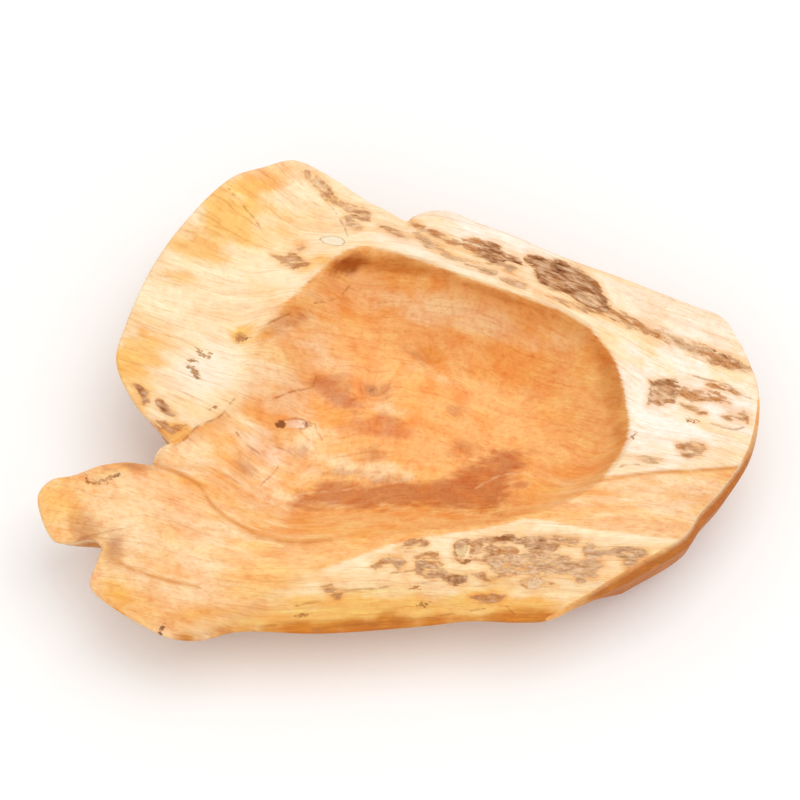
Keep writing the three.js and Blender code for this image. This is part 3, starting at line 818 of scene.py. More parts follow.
# Fine lines: kind, and the pixels that they run through
lineMarks = {
    "lobeCrack": ("dark", [(229, 189), (241, 203), (253, 217), (261, 228)]),
    "lobeArc": ("dark", [(322, 197), (335, 211), (345, 228), (347, 234)]),
    "farLine": ("dark", [(309, 282), (323, 278), (332, 277), (346, 278)]),
    "farCrack": ("dark", [(351, 284), (345, 291), (340, 297), (327, 301), (315, 303)]),
    "crestTickHigh": ("dark", [(262, 327), (275, 320), (289, 314)]),
    "swirlUpper": ("dark", [(274, 399), (281, 396), (293, 391), (309, 388), (313, 386), (316, 376)]),
    "swirlTail": ("dark", [(349, 401), (361, 397), (368, 397)]),
    "spoutCrack": ("dark", [(237, 433), (241, 439), (251, 448), (260, 454)]),
    "yCrack": ("dark", [(278, 467), (272, 475), (264, 482), (258, 488), (250, 484)]),
    "plugCrack": ("dark", [(315, 424), (317, 431), (322, 439)]),
    "plugTop": ("dark", [(286, 420.5), (293, 418.5), (301, 418.8), (308, 420.8), (311, 423.2)]),
    "plugLow": ("dark", [(310, 425), (304, 428.4), (295, 429), (286, 428.2)]),
    "plugUnder": ("dark", [(274, 446), (290, 452), (300, 462)]),
    "crestLine": ("dark", [
        (171, 447), (178, 444), (186, 438), (195, 428), (204, 423), (216, 419), (223, 414), (230, 404),
        (236, 397),
    ]),
    "tanBorder": ("soft", [(600, 480), (625, 476), (660, 472), (700, 470), (750, 467)]),
    # Painted shade along the crease between the tongue and the hollow
    "creaseShadeHigh": ("soft", [
        (156, 466), (167, 469), (185, 476), (197, 483), (204, 492), (211, 504), (225, 517),
    ]),
    "creaseShadeLow": ("soft", [(225, 517), (237, 524), (260, 536), (282, 541), (305, 543), (330, 540)]),
    "tongueLow": ("soft", [(114, 560), (137, 572), (164, 580), (198, 587)]),
    "rightLoop": ("dark", [
        (712, 423), (722, 427), (733, 430), (743, 428), (748, 423), (747, 417), (744, 412),
    ]),
    "rightUpper": ("dark", [(693, 376), (711, 381), (728, 385), (739, 394), (755, 400)]),
    "lipArc": ("dark", [(620, 467), (624, 465), (631, 463.5), (639, 465)]),
    "ovalHigh": ("dark", [(520, 581), (526, 579.5), (536, 580), (544, 582)]),
    "ovalLow": ("dark", [(545, 585), (538, 587.5), (528, 587), (521, 584)]),
    "frontDashLeft": ("dark", [(296, 606), (306, 603.5), (319, 602)]),
    "frontDashLong": ("dark", [(343, 591), (360, 589.5), (375, 589), (388, 587)]),
    "frontDashHigh": ("dark", [(391, 573), (405, 571.5), (423, 569)]),
    "frontDashMiddle": ("dark", [(418, 583), (427, 582), (435, 581)]),
    "frontDashRight": ("dark", [(470, 611), (477, 609.5), (484, 608.5)]),
    "bottomDash": ("dark", [(432, 617), (442, 615), (453, 613.5)]),
    "bottomDashMiddle": ("dark", [(370, 625), (385, 623.5), (402, 622)]),
    "bottomDashEnd": ("dark", [(503, 618.5), (515, 620), (527, 620)]),
    "bottomSplit": ("dark", [(503, 603), (508, 608), (514, 614)]),
    "knotFrontRing": ("dark", [
        (470, 543), (463, 540.5), (456.5, 543), (454.5, 550), (456, 558), (462, 562.5), (469, 562),
    ]),
    "bottomDashLeft": ("dark", [(253, 626.5), (265, 625.5), (277, 625)]),
    "bottomDashLong": ("dark", [(312, 629), (335, 627), (360, 624), (400, 620)]),
    "rustLine": ("pale", [
        (240, 508), (274, 505), (290, 499), (300, 494), (320, 492), (342, 491), (357, 487), (362, 483),
        (358, 479),
    ]),
    "tongueLine": ("pale", [(175, 540), (202, 543), (221, 541), (242, 532)]),
    "ringOuter": ("pale", [(162, 530), (164, 543), (160, 555)]),
    "ringInner": ("pale", [(177, 539), (178, 546), (177, 553)]),
    "eyeOuter": ("pale", [(476, 488), (488, 481), (500, 475), (512, 473), (524, 473), (541, 481)]),
    "creaseLight": ("pale", [(230, 515), (245, 524), (265, 533), (290, 537)]),
}
lineKinds = ("dark", "pale", "soft")
# Films and crumbs of bark: tone, and an outline or an oval
# Tones: shares of rust, dark and pale, and how thick the film is; a thin one breaks up
barkTones = {
    "grey": (0.2, 0.17, 0.06, 1.4),
    "worn": (0.32, 0.1, 0.35, 0.85),
    "chips": (0.3, 0.35, 0.42, 0.6),
    "film": (0.3, 0.06, 0.44, 0.8),
    "thin": (0.35, 0.1, 0.3, 0.3),
    "rust": (0.46, 0.18, 0.24, 0.4),
    "dark": (0.3, 0.4, 0.0, 0.6),
    "pale": (0.12, 0.05, 0.75, 0.6),
}
barkMarks = {
    "tipStrip": ("thin", [
        (305, 172), (314, 175), (325, 183), (335, 196), (338, 204), (329, 200), (319, 190), (310, 181),
    ]),
    "tipPale": ("pale", (318, 184, 9, 2, 42)),
    "shoulderSpeckle": ("thin", [
        (339, 202), (346, 203), (352, 206), (362, 207), (371, 215), (368, 220), (358, 219), (348, 213),
        (340, 207),
    ]),
    "shoulderPlug": ("film", [(345, 218), (350, 217), (359, 224), (361, 228), (354, 229), (347, 225)]),
    "crestShag": ("rust", [
        (271, 254), (283, 258), (291, 253), (296, 254), (303, 261), (309, 263), (306, 268), (294, 269),
        (282, 264),
    ]),
    "crestSpot": ("rust", [(295, 245), (303, 243), (305, 247), (300, 251)]),
    "leftEdge": ("grey", [(134, 385), (140, 386), (146, 394), (149, 402), (144, 404), (139, 396)]),
    "leftMiddle": ("grey", [
        (157, 399), (163, 401), (170, 409), (176, 414), (175, 418), (166, 415), (158, 407),
    ]),
    "leftCorner": ("rust", [
        (157, 421), (165, 422), (170, 428), (178, 424), (186, 425), (180, 431), (172, 433), (163, 428),
    ]),
    "notchDash": ("thin", (395, 232, 11, 3, 26)),
    "notchStreak": ("rust", [
        (411, 221), (417, 223), (425, 228), (436, 231), (448, 236), (462, 243), (460, 247), (446, 241),
        (432, 235), (420, 231), (412, 225),
    ]),
    "seamWedge": ("film", [
        (414, 234), (422, 235), (434, 243), (443, 247), (444, 252), (430, 248), (420, 241),
    ]),
    "seamStrip": ("film", [
        (441, 250), (453, 256), (466, 260), (478, 265), (491, 269.5), (497, 272), (496, 276), (488, 274),
        (478, 269), (466, 264.5), (453, 260), (442, 255),
    ]),
    "shortRust": ("rust", [
        (462, 240), (473, 238), (484, 242), (488, 250), (486, 259), (478, 256), (470, 251), (463, 247),
    ]),
    "seamShort": ("grey", [
        (483, 243), (487, 242), (496, 243), (500, 245.5), (502.5, 250.5), (506, 254), (511.5, 256),
        (518, 258), (523, 261), (521, 265), (516, 263), (511, 261), (506, 260.5), (504, 263),
        (498.5, 265), (491, 263), (485, 259), (478, 254), (476, 248),
    ]),
    "seamDab": ("film", [(504, 264), (513, 263), (516, 269), (511, 272), (505, 270)]),
    "seamLarge": ("grey", [
        (523, 257), (529, 253.5), (537, 254.5), (545, 259), (553.5, 260), (561, 261.5), (570, 266),
        (578, 268.5), (584, 273), (589.5, 278.5), (596, 285), (602, 292.5), (606, 299), (610, 305.5),
        (612.5, 311), (606, 312.5), (598, 310), (589, 308.5), (581.5, 303.5), (574, 299.5), (566, 294.5),
        (557, 291), (548, 288), (540.5, 283.5), (538, 279), (535.5, 274), (535.5, 267.5), (532, 264.5),
        (526.5, 264), (523.5, 261),
    ]),
    "largeShade": ("dark", [
        (570, 265), (584, 271.5), (597, 284), (606, 297), (613, 311), (608, 309), (600, 296), (590, 284),
        (579, 274),
    ]),
    "largeFilm": ("film", [(575, 292), (586, 291), (597, 298), (603, 307), (592, 307), (580, 301)]),
    "largeSpot": ("rust", [(548, 279), (556, 278), (564, 283), (566, 290), (556, 288), (549, 284)]),
    "seamThread": ("thin", [
        (535, 291), (552, 297), (566, 301), (580, 306), (598, 313), (585, 312), (566, 305), (548, 298),
    ]),
    "threadRust": ("rust", [(572, 300), (584, 305), (600, 311), (606, 316), (590, 312), (578, 307)]),
    "seamFleck": ("film", [
        (499, 277), (509, 279), (519, 280.5), (525, 283.5), (528, 287), (519, 287), (509, 284.5),
        (502, 281.5),
    ]),
    "stripLeft": ("rust", [
        (603, 315), (612, 309), (619, 312), (628, 315.5), (638, 321), (650, 326.5), (661, 332),
        (672, 337), (670, 344), (659, 338.5), (647, 334), (636, 329.5), (623, 325), (613, 320),
    ]),
    "stripMiddle": ("pale", [
        (661, 333), (672, 336), (682, 339.5), (691, 343), (700, 346), (706, 349), (702, 357),
        (691, 352.5), (680, 348), (670, 343),
    ]),
    "stripDots": ("chips", [(668, 335), (684, 340), (700, 347), (704, 356), (690, 351), (676, 345)]),
    "stripEnd": ("film", [
        (700, 346), (712, 349), (720, 351), (730, 354.5), (737, 359), (744, 363), (750, 368), (750, 371),
        (742.5, 370), (732, 369.5), (721, 367), (709, 363), (702, 357.5),
    ]),
    "stripEndRust": ("rust", [
        (700, 350), (716, 354), (730, 361), (744, 368), (730, 369), (712, 364), (702, 357),
    ]),
    "stripDark": ("dark", [(713, 349), (722, 351), (731, 355), (736, 359), (727, 358), (716, 354)]),
    "rightPatch": ("worn", [
        (650.5, 380), (659, 381), (666, 380), (673, 379), (677.5, 380.5), (681, 386), (680, 394),
        (675, 401.5), (669, 404), (659, 404.5), (648, 405), (647, 401), (648, 395), (649, 388),
    ]),
    "rightTail": ("rust", [
        (679, 386), (689, 388), (696, 390.5), (705, 391.5), (711, 390.5), (719, 393), (721, 396.5),
        (729, 402.5), (725, 404.5), (718, 401.5), (706, 401.5), (693, 400.5), (685, 399), (678, 398),
    ]),
    "rightShadow": ("dark", [
        (650, 380), (659, 380), (673, 378), (679, 382), (682, 387), (674, 386), (666, 385), (652, 386),
    ]),
    "rightDash": ("thin", [(679, 403), (690, 405), (700, 409), (706, 414), (695, 412), (684, 408)]),
    "rightEnd": ("thin", [
        (722, 415), (735, 415), (744, 411), (749, 415), (748, 422), (741, 421), (733, 420), (725, 419),
    ]),
    "rightUpperFilm": ("rust", [(706, 384), (720, 385), (734, 390), (742, 396), (730, 393), (716, 389)]),
    "rightLow": ("thin", [
        (677, 443), (690, 441), (704, 445), (706, 450), (697, 456), (688, 459), (680, 452),
    ]),
    "rightEye": ("film", (647, 460, 9, 3.2, 6)),
    "knotFrontRim": ("dark", [
        (453, 546), (456, 541), (464, 539), (470, 541), (469, 544), (463, 542.5), (457.5, 545),
        (456.5, 551), (458.5, 558), (463, 561), (469, 560.5), (468, 563.5), (461, 564), (455, 560),
        (453, 553),
    ]),
    "knotFrontTop": ("film", [
        (454, 546), (457, 540.5), (465, 539.5), (468, 543), (463, 549), (459, 551),
    ]),
    "frontVeil": ("thin", [
        (471, 540), (490, 537), (505, 536), (508, 552), (498, 562), (480, 562), (471, 556),
    ]),
    "frontTop": ("worn", [
        (490, 538), (500, 535.5), (511, 535.5), (518, 537), (532, 537), (554, 537), (579, 539),
        (579, 543), (561, 544.5), (557, 548), (554, 551.5), (543, 555), (532, 551.5), (523, 548),
        (525, 543), (511, 543), (498, 542),
    ]),
    "frontTopDark": ("dark", [
        (492, 537.5), (505, 534.5), (518, 536), (522, 538.5), (510, 540), (496, 540),
    ]),
    "frontRust": ("rust", [(497, 546), (508, 544), (519, 549), (516, 556), (504, 556), (497, 552)]),
    "frontFilm": ("film", [
        (486, 561), (496, 556), (507, 553.5), (516, 553.5), (536, 553.5), (559, 553.5), (571, 557.5),
        (572, 561), (588, 560.5), (601, 560.5), (603, 565), (597, 569), (590, 572), (597, 576),
        (596, 579), (586, 580), (578.5, 582), (575, 578), (571, 575), (559, 575), (544.5, 576),
        (532, 576), (518, 574), (500, 573), (494, 572), (488, 566),
    ]),
    "frontJoin": ("film", [
        (583, 547), (589, 543), (595, 547), (595.5, 563), (588, 563), (586.5, 556), (583.5, 551),
    ]),
    "frontRight": ("film", [
        (589, 550), (600, 548.5), (611, 549.5), (621, 547.5), (629, 546.5), (636, 549.5), (646, 551),
        (649, 555), (641, 559), (638, 566), (632, 568), (624, 566), (622, 559), (614, 555), (607, 555),
        (600, 557), (592, 557),
    ]),
    "frontSlant": ("worn", [
        (416, 560.5), (424, 560.5), (431, 561.5), (437, 564.5), (443, 569.5), (447, 573.5), (452, 577),
        (450, 583), (446, 579.5), (439, 577.5), (431, 576.5), (423.5, 575.5), (418, 572.5), (416, 566),
    ]),
    "slantRust": ("rust", [
        (415, 558), (427, 552), (437, 553), (439, 560), (444, 564), (441, 568), (435, 564.5),
        (427, 561.5),
    ]),
    "slantEnd": ("grey", [
        (447, 576), (456, 575.5), (466, 576), (468.5, 581.5), (462, 584), (454, 585.5), (449, 582),
    ]),
    "slantTip": ("dark", [(452, 580), (460, 578.5), (468, 580), (462, 584), (455, 585)]),
    "frontStrip": ("thin", [
        (465, 573), (481, 574), (489, 577), (504, 575), (513, 577), (504, 579.5), (490, 581), (484, 579),
        (475, 576),
    ]),
    "frontOval": ("pale", (533, 583.5, 12, 3.6, 3)),
    "frontLeft": ("film", [(392, 557), (400, 556), (405, 561), (405, 567), (398, 569), (392, 563)]),
    "frontLeftRust": ("rust", [(371, 566), (378, 561), (390, 557), (394, 561), (384, 565), (374, 569)]),
    "frontDots": ("thin", [
        (396, 549), (406, 542), (413, 538.5), (422, 539.5), (428, 544), (424, 548), (416, 548),
        (406, 550),
    ]),
    "frontFleck": ("rust", [(322, 589), (332, 587), (343, 593), (338, 599), (328, 596)]),
    "frontLow": ("rust", [
        (469, 598), (478, 595), (492, 593.5), (505, 596), (500, 601), (488, 602), (478, 601),
    ]),
}
# Stretches of the heartwood's border that are blurred: ovals in pixels, and millimetres of blur
heartBorder = {
    "crisp": 0.8,
    "soft": 6.0,
    "fade": (1.2, 0.6),
    "ovals": [(246, 360, 62, 34, -62), (255, 604, 80, 34, -18)],
}
lookReach = 9.0  # millimetres beyond which a mark has no say
toneFade = (-0.8, 0.6)  # millimetres over which one tone of bark gives way to the next
washRag = {
    "streak": (0.28, 26, 5),  # share, and length and width in millimetres
    "blot": (0.16, 9),
    "fade": (0.4, 1.15),  # reach at which a wash starts to fade, and at which it is gone
}


# One layer of washes: each oval fades out from its middle, ragged along the grain
def washed(base, washes, u, v, rag):
    colours = np.broadcast_to(linearColour(woodColours[base]), (*u.shape, 3))
    for *oval, name, strength in washes.values():
        share = strength * (1 - smoothStep(*washRag["fade"], ovalReach(oval, u, v) + rag))
        colours = colours + share[..., None] * (linearColour(woodColours[name]) - colours)
    return colours


# All that the materials need at points of the root's surface; distances are in millimetres
def rootLook(points):
    x, y = points[..., 0], points[..., 1]
    u, v = photoPixel(points)
    along, across = grainAt(x, y)
    streak, streakLength, streakWidth = washRag["streak"]
    blot, blotSize = washRag["blot"]
    rag = streak * layeredNoise(along / streakLength, across / streakWidth, 51)
    rag = rag + blot * layeredNoise(x / blotSize, y / blotSize, 61, 3)
    blurReach = np.min([ovalReach(oval, u, v) for oval in heartBorder["ovals"]], 0)
    blur = smoothStep(*heartBorder["fade"], blurReach)
    look = {
        "grain": np.stack([along, across, np.zeros_like(along)], -1),
        "sapTint": washed("sap", sapWashes, u, v, rag),
        "heartTint": washed("heart", heartWashes, u, v, rag),
        "heartInside": insideOutline(heartOutline, u, v) * photoView["pitch"],
        "heartSoft": heartBorder["crisp"] + heartBorder["soft"] * blur,
    }
    for kind in stainKinds:
        marks = [mark for itsKind, mark in stainMarks.values() if itsKind == kind]
        look[kind + "Inside"] = np.max([insideMark(mark, u, v) for mark in marks], 0) * photoView["pitch"]
    for kind in lineKinds:
        lines = [line for itsKind, line in lineMarks.values() if itsKind == kind]
        beside = np.array([besideLine(line, u, v) for line in lines])
        nearest = np.argmin(np.abs(beside), 0)[None]
        look[kind + "Line"] = np.take_along_axis(beside, nearest, 0)[0] * photoView["pitch"]
        look[kind + "Near"] = np.abs(look[kind + "Line"])
    bark = np.full(u.shape, -lookReach)
    tone = np.zeros((*u.shape, 3))
    for name, mark in barkMarks.values():
        inside = insideMark(mark, u, v) * photoView["pitch"]
        *shares, thickness = barkTones[name]
        hold = smoothStep(*toneFade, inside)[..., None]
        mixed = tone + hold * (np.array(shares) - tone)
        tone = np.where((bark < toneFade[0])[..., None], shares, mixed)
        bark = np.maximum(bark, np.minimum(inside, thickness))
    look["barkInside"] = bark
    look["barkTone"] = tone
    for label, values in look.items():
        if values.ndim == u.ndim:
            look[label] = np.clip(values, -lookReach, lookReach)
    return look


rootRelief = {
    "wave": (0.4, 26),  # height and length in millimetres
    "flute": (0.7, 70, 6),  # height, length and spacing
    "front": (-70, -90, 4),  # Y over which the front begins, and width of its border
    "barkSink": (0.6, -0.3, 1.2),  # depth, and how far inside the bark it starts and is full
    "barkPlate": (0.7, 5.0, 2.2),  # height, length and width of a plate
    "plateFade": (0.3, 1.4),
}


# The root's own relief, each a noise times its height: carved waves, flutes along the natural front, and
# plates of bark that lie a little low
def reliefAt(points, look):
    along, across = look["grain"][..., 0], look["grain"][..., 1]
    waveHeight, waveLength = rootRelief["wave"]
    fluteHeight, fluteLength, fluteSpacing = rootRelief["flute"]
    plateHeight, plateLength, plateWidth = rootRelief["barkPlate"]
    frontFrom, frontTo, frontBorder = rootRelief["front"]
    sink, sinkFrom, sinkTo = rootRelief["barkSink"]
    front = smoothStep(0, frontBorder, -look["heartInside"])
    front = front * smoothStep(frontFrom, frontTo, points[..., 1])
    bark = smoothStep(sinkFrom, sinkTo, look["barkInside"])
    waves = waveHeight * layeredNoise(points[..., 0] / waveLength, points[..., 1] / waveLength, 31, 2)
    flutes = fluteHeight * layeredNoise(along / fluteLength, across / fluteSpacing, 41, 2)
    plates = plateHeight * layeredNoise(along / plateLength, across / plateWidth, 71, 2)
    plates = plates * smoothStep(*rootRelief["plateFade"], look["barkInside"]) - sink
    return waves * (1 - front) + flutes * front + plates * bark


# The wood is relieved first, and then pocketed where a piece is seated
allSeats = {name: ("bark", seat) for name, seat in barkPatches.items()}
allSeats.update({name: ("knot", seat) for name, seat in knotPlaces.items()})
allSeats.update({name: ("fill", seat) for name, seat in fillPlaces.items()})
baseZ = topZ
basePoints = np.stack([topX, topY, baseZ], -1)
topLook = rootLook(basePoints)
# Painted shade: near the lip on the far right of the hollow, the heartwood is darkened towards the shade
# colour where the lip's shade falls
underLipShade = inHollow * smoothStep(bodyMesh["lipShade"], 0, lipDistance)
underLipShade = underLipShade * nearSide(facing, bodyMesh["shadeSide"], bodyMesh["shadeSpread"])
shadeTint = linearColour(woodColours["shade"]) - topLook["heartTint"]
topLook["heartTint"] = topLook["heartTint"] + bodyMesh["shadeStrength"] * underLipShade[..., None] * shadeTint
topZ = baseZ + reliefAt(basePoints, topLook) * smoothStep(0, bodyMesh["calmLip"], lipDistance)
for kind, seat in allSeats.values():
    inner, outer = seatKinds[kind]["slope"]
    reach = seatReach(seat, kind, topX, topY)
    topZ = topZ - seatKinds[kind]["pocket"] * (1 - smoothStep(inner, outer, reach))
topPoints = np.stack([topX, topY, topZ], -1)
print("top painted and pocketed for", len(allSeats), "pieces")

# Side wall and underside, ring by ring from the border of the top
topFaces, border = latticeFaces(bodyMesh["steps"])
borderRib = latticeRib.ravel()[border]
sideLip, sideEdge = lipAt(borderRib), edgeAt(borderRib)
sideInwards = inwardAt(borderRib)
sideWidth = rimWidth.ravel()[border]
sideRound = edgeRound.ravel()[border]
sideTop = topZ.ravel()[border]
sawn = sawnAt(sideEdge)
frontLean = (bowlForm["frontUndercut"] - bowlForm["undercut"]) * np.maximum(0, sideInwards[:, 1])
lean = (bowlForm["undercut"] + frontLean) * (1 - sawn) + bowlForm["sawnUndercut"] * sawn
inset = lean * np.minimum(1, sideWidth / bowlForm["fullRim"])
underPlan = sideEdge[:, :2] + sideInwards * inset[:, None]
underZ = bellyHeight(*underPlan.T)
sideRings = []
# The arris: rounded, or cut off where it is sawn
for share in np.linspace(0, 1, bodyMesh["roundSteps"] + 1)[1:]:
    bend = share * math.pi / 2
    depth = sideRound * ((1 - math.sin(bend)) * (1 - sawn) + (1 - share) * sawn)
    z = sideTop - sideRound * (1 - math.cos(bend)) * (1 - sawn) - chamferDepth * share * sawn
    sideRings.append(np.column_stack([sideEdge[:, :2] + sideInwards * depth[:, None], z]))
wallTop = sideTop - sideRound * (1 - sawn) - chamferDepth * sawn
rippleHeight, rippleLength, rippleSpacing = bodyMesh["ripple"]
borderStep = np.linalg.norm(np.diff(sideEdge[:, :2], axis=0, append=sideEdge[:1, :2]), axis=1)
borderWay = np.cumsum(borderStep)
fromClose = np.minimum(borderWay, borderWay[-1] - borderWay)
calm = smoothStep(0, bodyMesh["rippleClose"], fromClose) * (1 - bodyMesh["sawnCalm"] * sawn)
# The wall leans in on its way down
for drop in np.linspace(0, 1, bodyMesh["wallSteps"] + 1)[1:]:
    z = wallTop + (underZ - wallTop) * drop
    ripple = rippleHeight * layeredNoise(borderWay / rippleLength, z / rippleSpacing, 95, 2)
    ripple = ripple * calm * math.sin(math.pi * drop)
    depth = inset * drop ** bowlForm["wallBulge"] + np.abs(ripple)
    sideRings.append(np.column_stack([sideEdge[:, :2] + sideInwards * depth[:, None], z]))
# Below, each rib runs back under the rim to the lip, then on to the edge of the foot
footHalf = np.array(bowlForm["footSize"]) / 2
footFrom, footTo = hollowCentre / footHalf, (sideLip[:, :2] - hollowCentre) / footHalf
footDot, footSquare = footTo @ footFrom, (footTo**2).sum(1)
footShare = (np.sqrt(footDot**2 - footSquare * (footFrom @ footFrom - 1)) - footDot) / footSquare
footPlan = hollowCentre + (sideLip[:, :2] - hollowCentre) * footShare[:, None]
belowRim = np.linalg.norm(underPlan - sideLip[:, :2], axis=1)
belowHollow = np.linalg.norm(footPlan - sideLip[:, :2], axis=1)
for share in np.linspace(0, 1, bodyMesh["bellySteps"] + 1)[1:]:
    travelled = share * (belowRim + belowHollow)
    first = np.clip(travelled / belowRim, 0, 1)[:, None]
    second = np.clip((travelled - belowRim) / belowHollow, 0, 1)[:, None]
    plan = underPlan + (sideLip[:, :2] - underPlan) * first + (footPlan - sideLip[:, :2]) * second
    sideRings.append(np.column_stack([plan, bellyHeight(*plan.T)]))
sidePoints = np.array(sideRings)
ringCount, ringSize = sidePoints.shape[:2]
print("side rings", ringCount, "of", ringSize)

bodyPoints = np.concatenate([topPoints.reshape(-1, 3), sidePoints.reshape(-1, 3), [[*hollowCentre, 0]]])
topCount = topPoints.shape[0] * topPoints.shape[1]
ringIndices = topCount + np.arange(ringCount * ringSize).reshape(ringCount, ringSize)
rings = np.concatenate([border[None], ringIndices])
nextRings = np.roll(rings, -1, axis=1)
sideFaces = np.stack([rings[:-1], rings[1:], nextRings[1:], nextRings[:-1]], -1).reshape(-1, 4)
footFaces = np.stack([rings[-1], np.full(ringSize, len(bodyPoints) - 1), nextRings[-1]], -1)

# The sides take over the border's look on the arris, and turn to plain sawn or live wood below it
sideAlong, sideAcross = grainAt(sidePoints[..., 0], sidePoints[..., 1])
ringNumber = np.arange(ringCount)[:, None]
sawnTint = smoothStep(*bodyMesh["sawnTint"], sawn)
plainShare = smoothStep(*bodyMesh["liveRings"], ringNumber) * (1 - sawnTint)
plainShare = plainShare + smoothStep(*bodyMesh["sawnRings"], ringNumber) * sawnTint
downShare = smoothStep(*bodyMesh["underRings"], ringNumber / ringCount)[..., None]
sawnColour, liveColour = linearColour(woodColours["sawn"]), linearColour(woodColours["live"])
wallTint = liveColour + sawnTint[:, None] * (sawnColour - liveColour)
plainTint = wallTint * (1 - downShare) + linearColour(woodColours["under"]) * downShare
bodyLook = {}
for label, values in topLook.items():
    borderValues = values.reshape(topCount, *values.shape[2:])[border]
    plain = plainTint if label in ("sapTint", "heartTint") else -lookReach
    if label.endswith("Near") or label == "heartInside":
        plain = lookReach
    share = plainShare if values.ndim == 2 else plainShare[..., None]
    sides = borderValues * (1 - share) + plain * share
    if label == "grain":
        sides = np.stack([sideAlong, sideAcross, sideTop - sidePoints[..., 2]], -1)
    middle = sides[-1].mean(0, keepdims=True)  # the point in the middle of the foot
    if label == "grain":
        middle = np.stack([*grainAt(hollowCentre[:1], hollowCentre[1:]), sideTop[:1]], -1)
    sides = sides.reshape(-1, *values.shape[2:])
    bodyLook[label] = np.concatenate([values.reshape(topCount, *values.shape[2:]), sides, middle])


# A mesh object from points in millimetres, faces, and values kept at its points for the material
def makePiece(name, points, faces, attributes):
    mesh = bpy.data.meshes.new(name)
    faceList = [face for part in faces for face in part.tolist()]
    mesh.from_pydata((points * toMetres).tolist(), [], faceList)
    for label, values in attributes.items():
        kind = "FLOAT" if values.ndim == 1 else "FLOAT_VECTOR"
        layer = mesh.attributes.new(label, kind, "POINT")
        layer.data.foreach_set("value" if kind == "FLOAT" else "vector", values.astype(np.float32).ravel())
    mesh.shade_smooth()
    mesh.update()
    piece = bpy.data.objects.new(name, mesh)
    bpy.context.scene.collection.objects.link(piece)
    return piece


bowlBody = makePiece("carved_bowl", bodyPoints, [topFaces, sideFaces, footFaces], bodyLook)
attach(bowlBody, "root")
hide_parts("bowl_body")
print("body", len(bodyPoints), "points")


# A node with its settings and inputs; an input that is another node's output is linked
def addNode(tree, kind, inputs=None, out=0, **settings):
    node = tree.nodes.new("ShaderNode" + kind)
    for name, value in settings.items():
        setattr(node, name, value)
    for socket, value in (inputs or {}).items():
        if isinstance(value, bpy.types.NodeSocket):
            tree.links.new(value, node.inputs[socket])
        else:
            node.inputs[socket].default_value = value
    return node.outputs[out]


# A new material, its node tree and its shader
def newMaterial(name):
    material = bpy.data.materials.new(name)
    material.use_nodes = True
    tree = material.node_tree
    return material, tree, tree.nodes["Principled BSDF"]


# A hex colour as a linear colour with full cover
def opaque(hexColour):
    return (*linearColour(hexColour), 1)


grainRough = 0.55  # share that each finer layer of the noise keeps
# Layers of grain: length and width in millimetres, noise at which it starts and is full, strengths in
# sapwood and in heartwood, blend, colour
grainLayers = {
    "cloud": (30, 20, 0.46, 0.7, 0.25, 0.4, "MULTIPLY", "#f2b88c"),
    "goldCloud": (22, 14, 0.48, 0.66, 0.3, 0.45, "MULTIPLY", "#ffdc88"),
    "haze": (10, 7, 0.48, 0.7, 0.15, 0.4, "MULTIPLY", "#f0b880"),
    "paleHaze": (14, 9, 0.5, 0.72, 0.2, 0.4, "SOFT_LIGHT", "#fff0d8"),
    "mottle": (4, 2.4, 0.48, 0.68, 0.2, 0.35, "MULTIPLY", "#eec188"),
    "band": (90, 5, 0.5, 0.72, 0.3, 0.18, "MULTIPLY", "#eabc80"),
    "paleBand": (70, 4, 0.54, 0.74, 0.6, 0.22, "SOFT_LIGHT", "#fff2dc"),
    "fibre": (14, 0.8, 0.52, 0.7, 0.36, 0.3, "MULTIPLY", "#e0b47a"),
    "paleFibre": (10, 0.7, 0.54, 0.72, 0.6, 0.22, "SOFT_LIGHT", "#fff2dc"),
    "fuzz": (2.0, 0.9, 0.5, 0.7, 0.15, 0.35, "MULTIPLY", "#e8b880"),
    "pore": (3.2, 0.5, 0.6, 0.74, 0.28, 0.25, "MULTIPLY", "#cc965a"),
}
growthLines = {
    "spacing": 5.5,
    "wander": (50, 16, 1.0),
    "width": 0.08,
    "mask": (30, 6),
    "fade": (0.45, 0.65),  # noise at which they start and are full
    "strength": (0.36, 0.3),  # in sapwood and in heartwood
    "colour": "#d0914c",
}
heartRag = (9, 0.9, 4.0)  # length, width and shift of the teeth on the heartwood's border
# Stains: softness and raggedness of the border in millimetres, size of its noise, strength, colour
stainLooks = {
    "pale": (2.0, 3.5, (10, 3.0), 0.85, "#fde2b4"),
    "rust": (4.0, 8.0, (12, 3.5), 0.72, "#bb6636"),
    "plum": (4.0, 8.0, (10, 3.0), 0.42, "#b06840"),
    "amber": (3.0, 6.0, (9, 3.0), 0.6, "#f2a436"),
    "plug": (0.25, 1.2, (2.4, 0.9), 1.0, "#fff3e2"),
    "fleck": (0.5, 3.0, (1.7, 1.0), 0.85, "#aa6c2c"),
    "ink": (0.5, 2.0, (1.4, 0.9), 0.9, "#785036"),
}
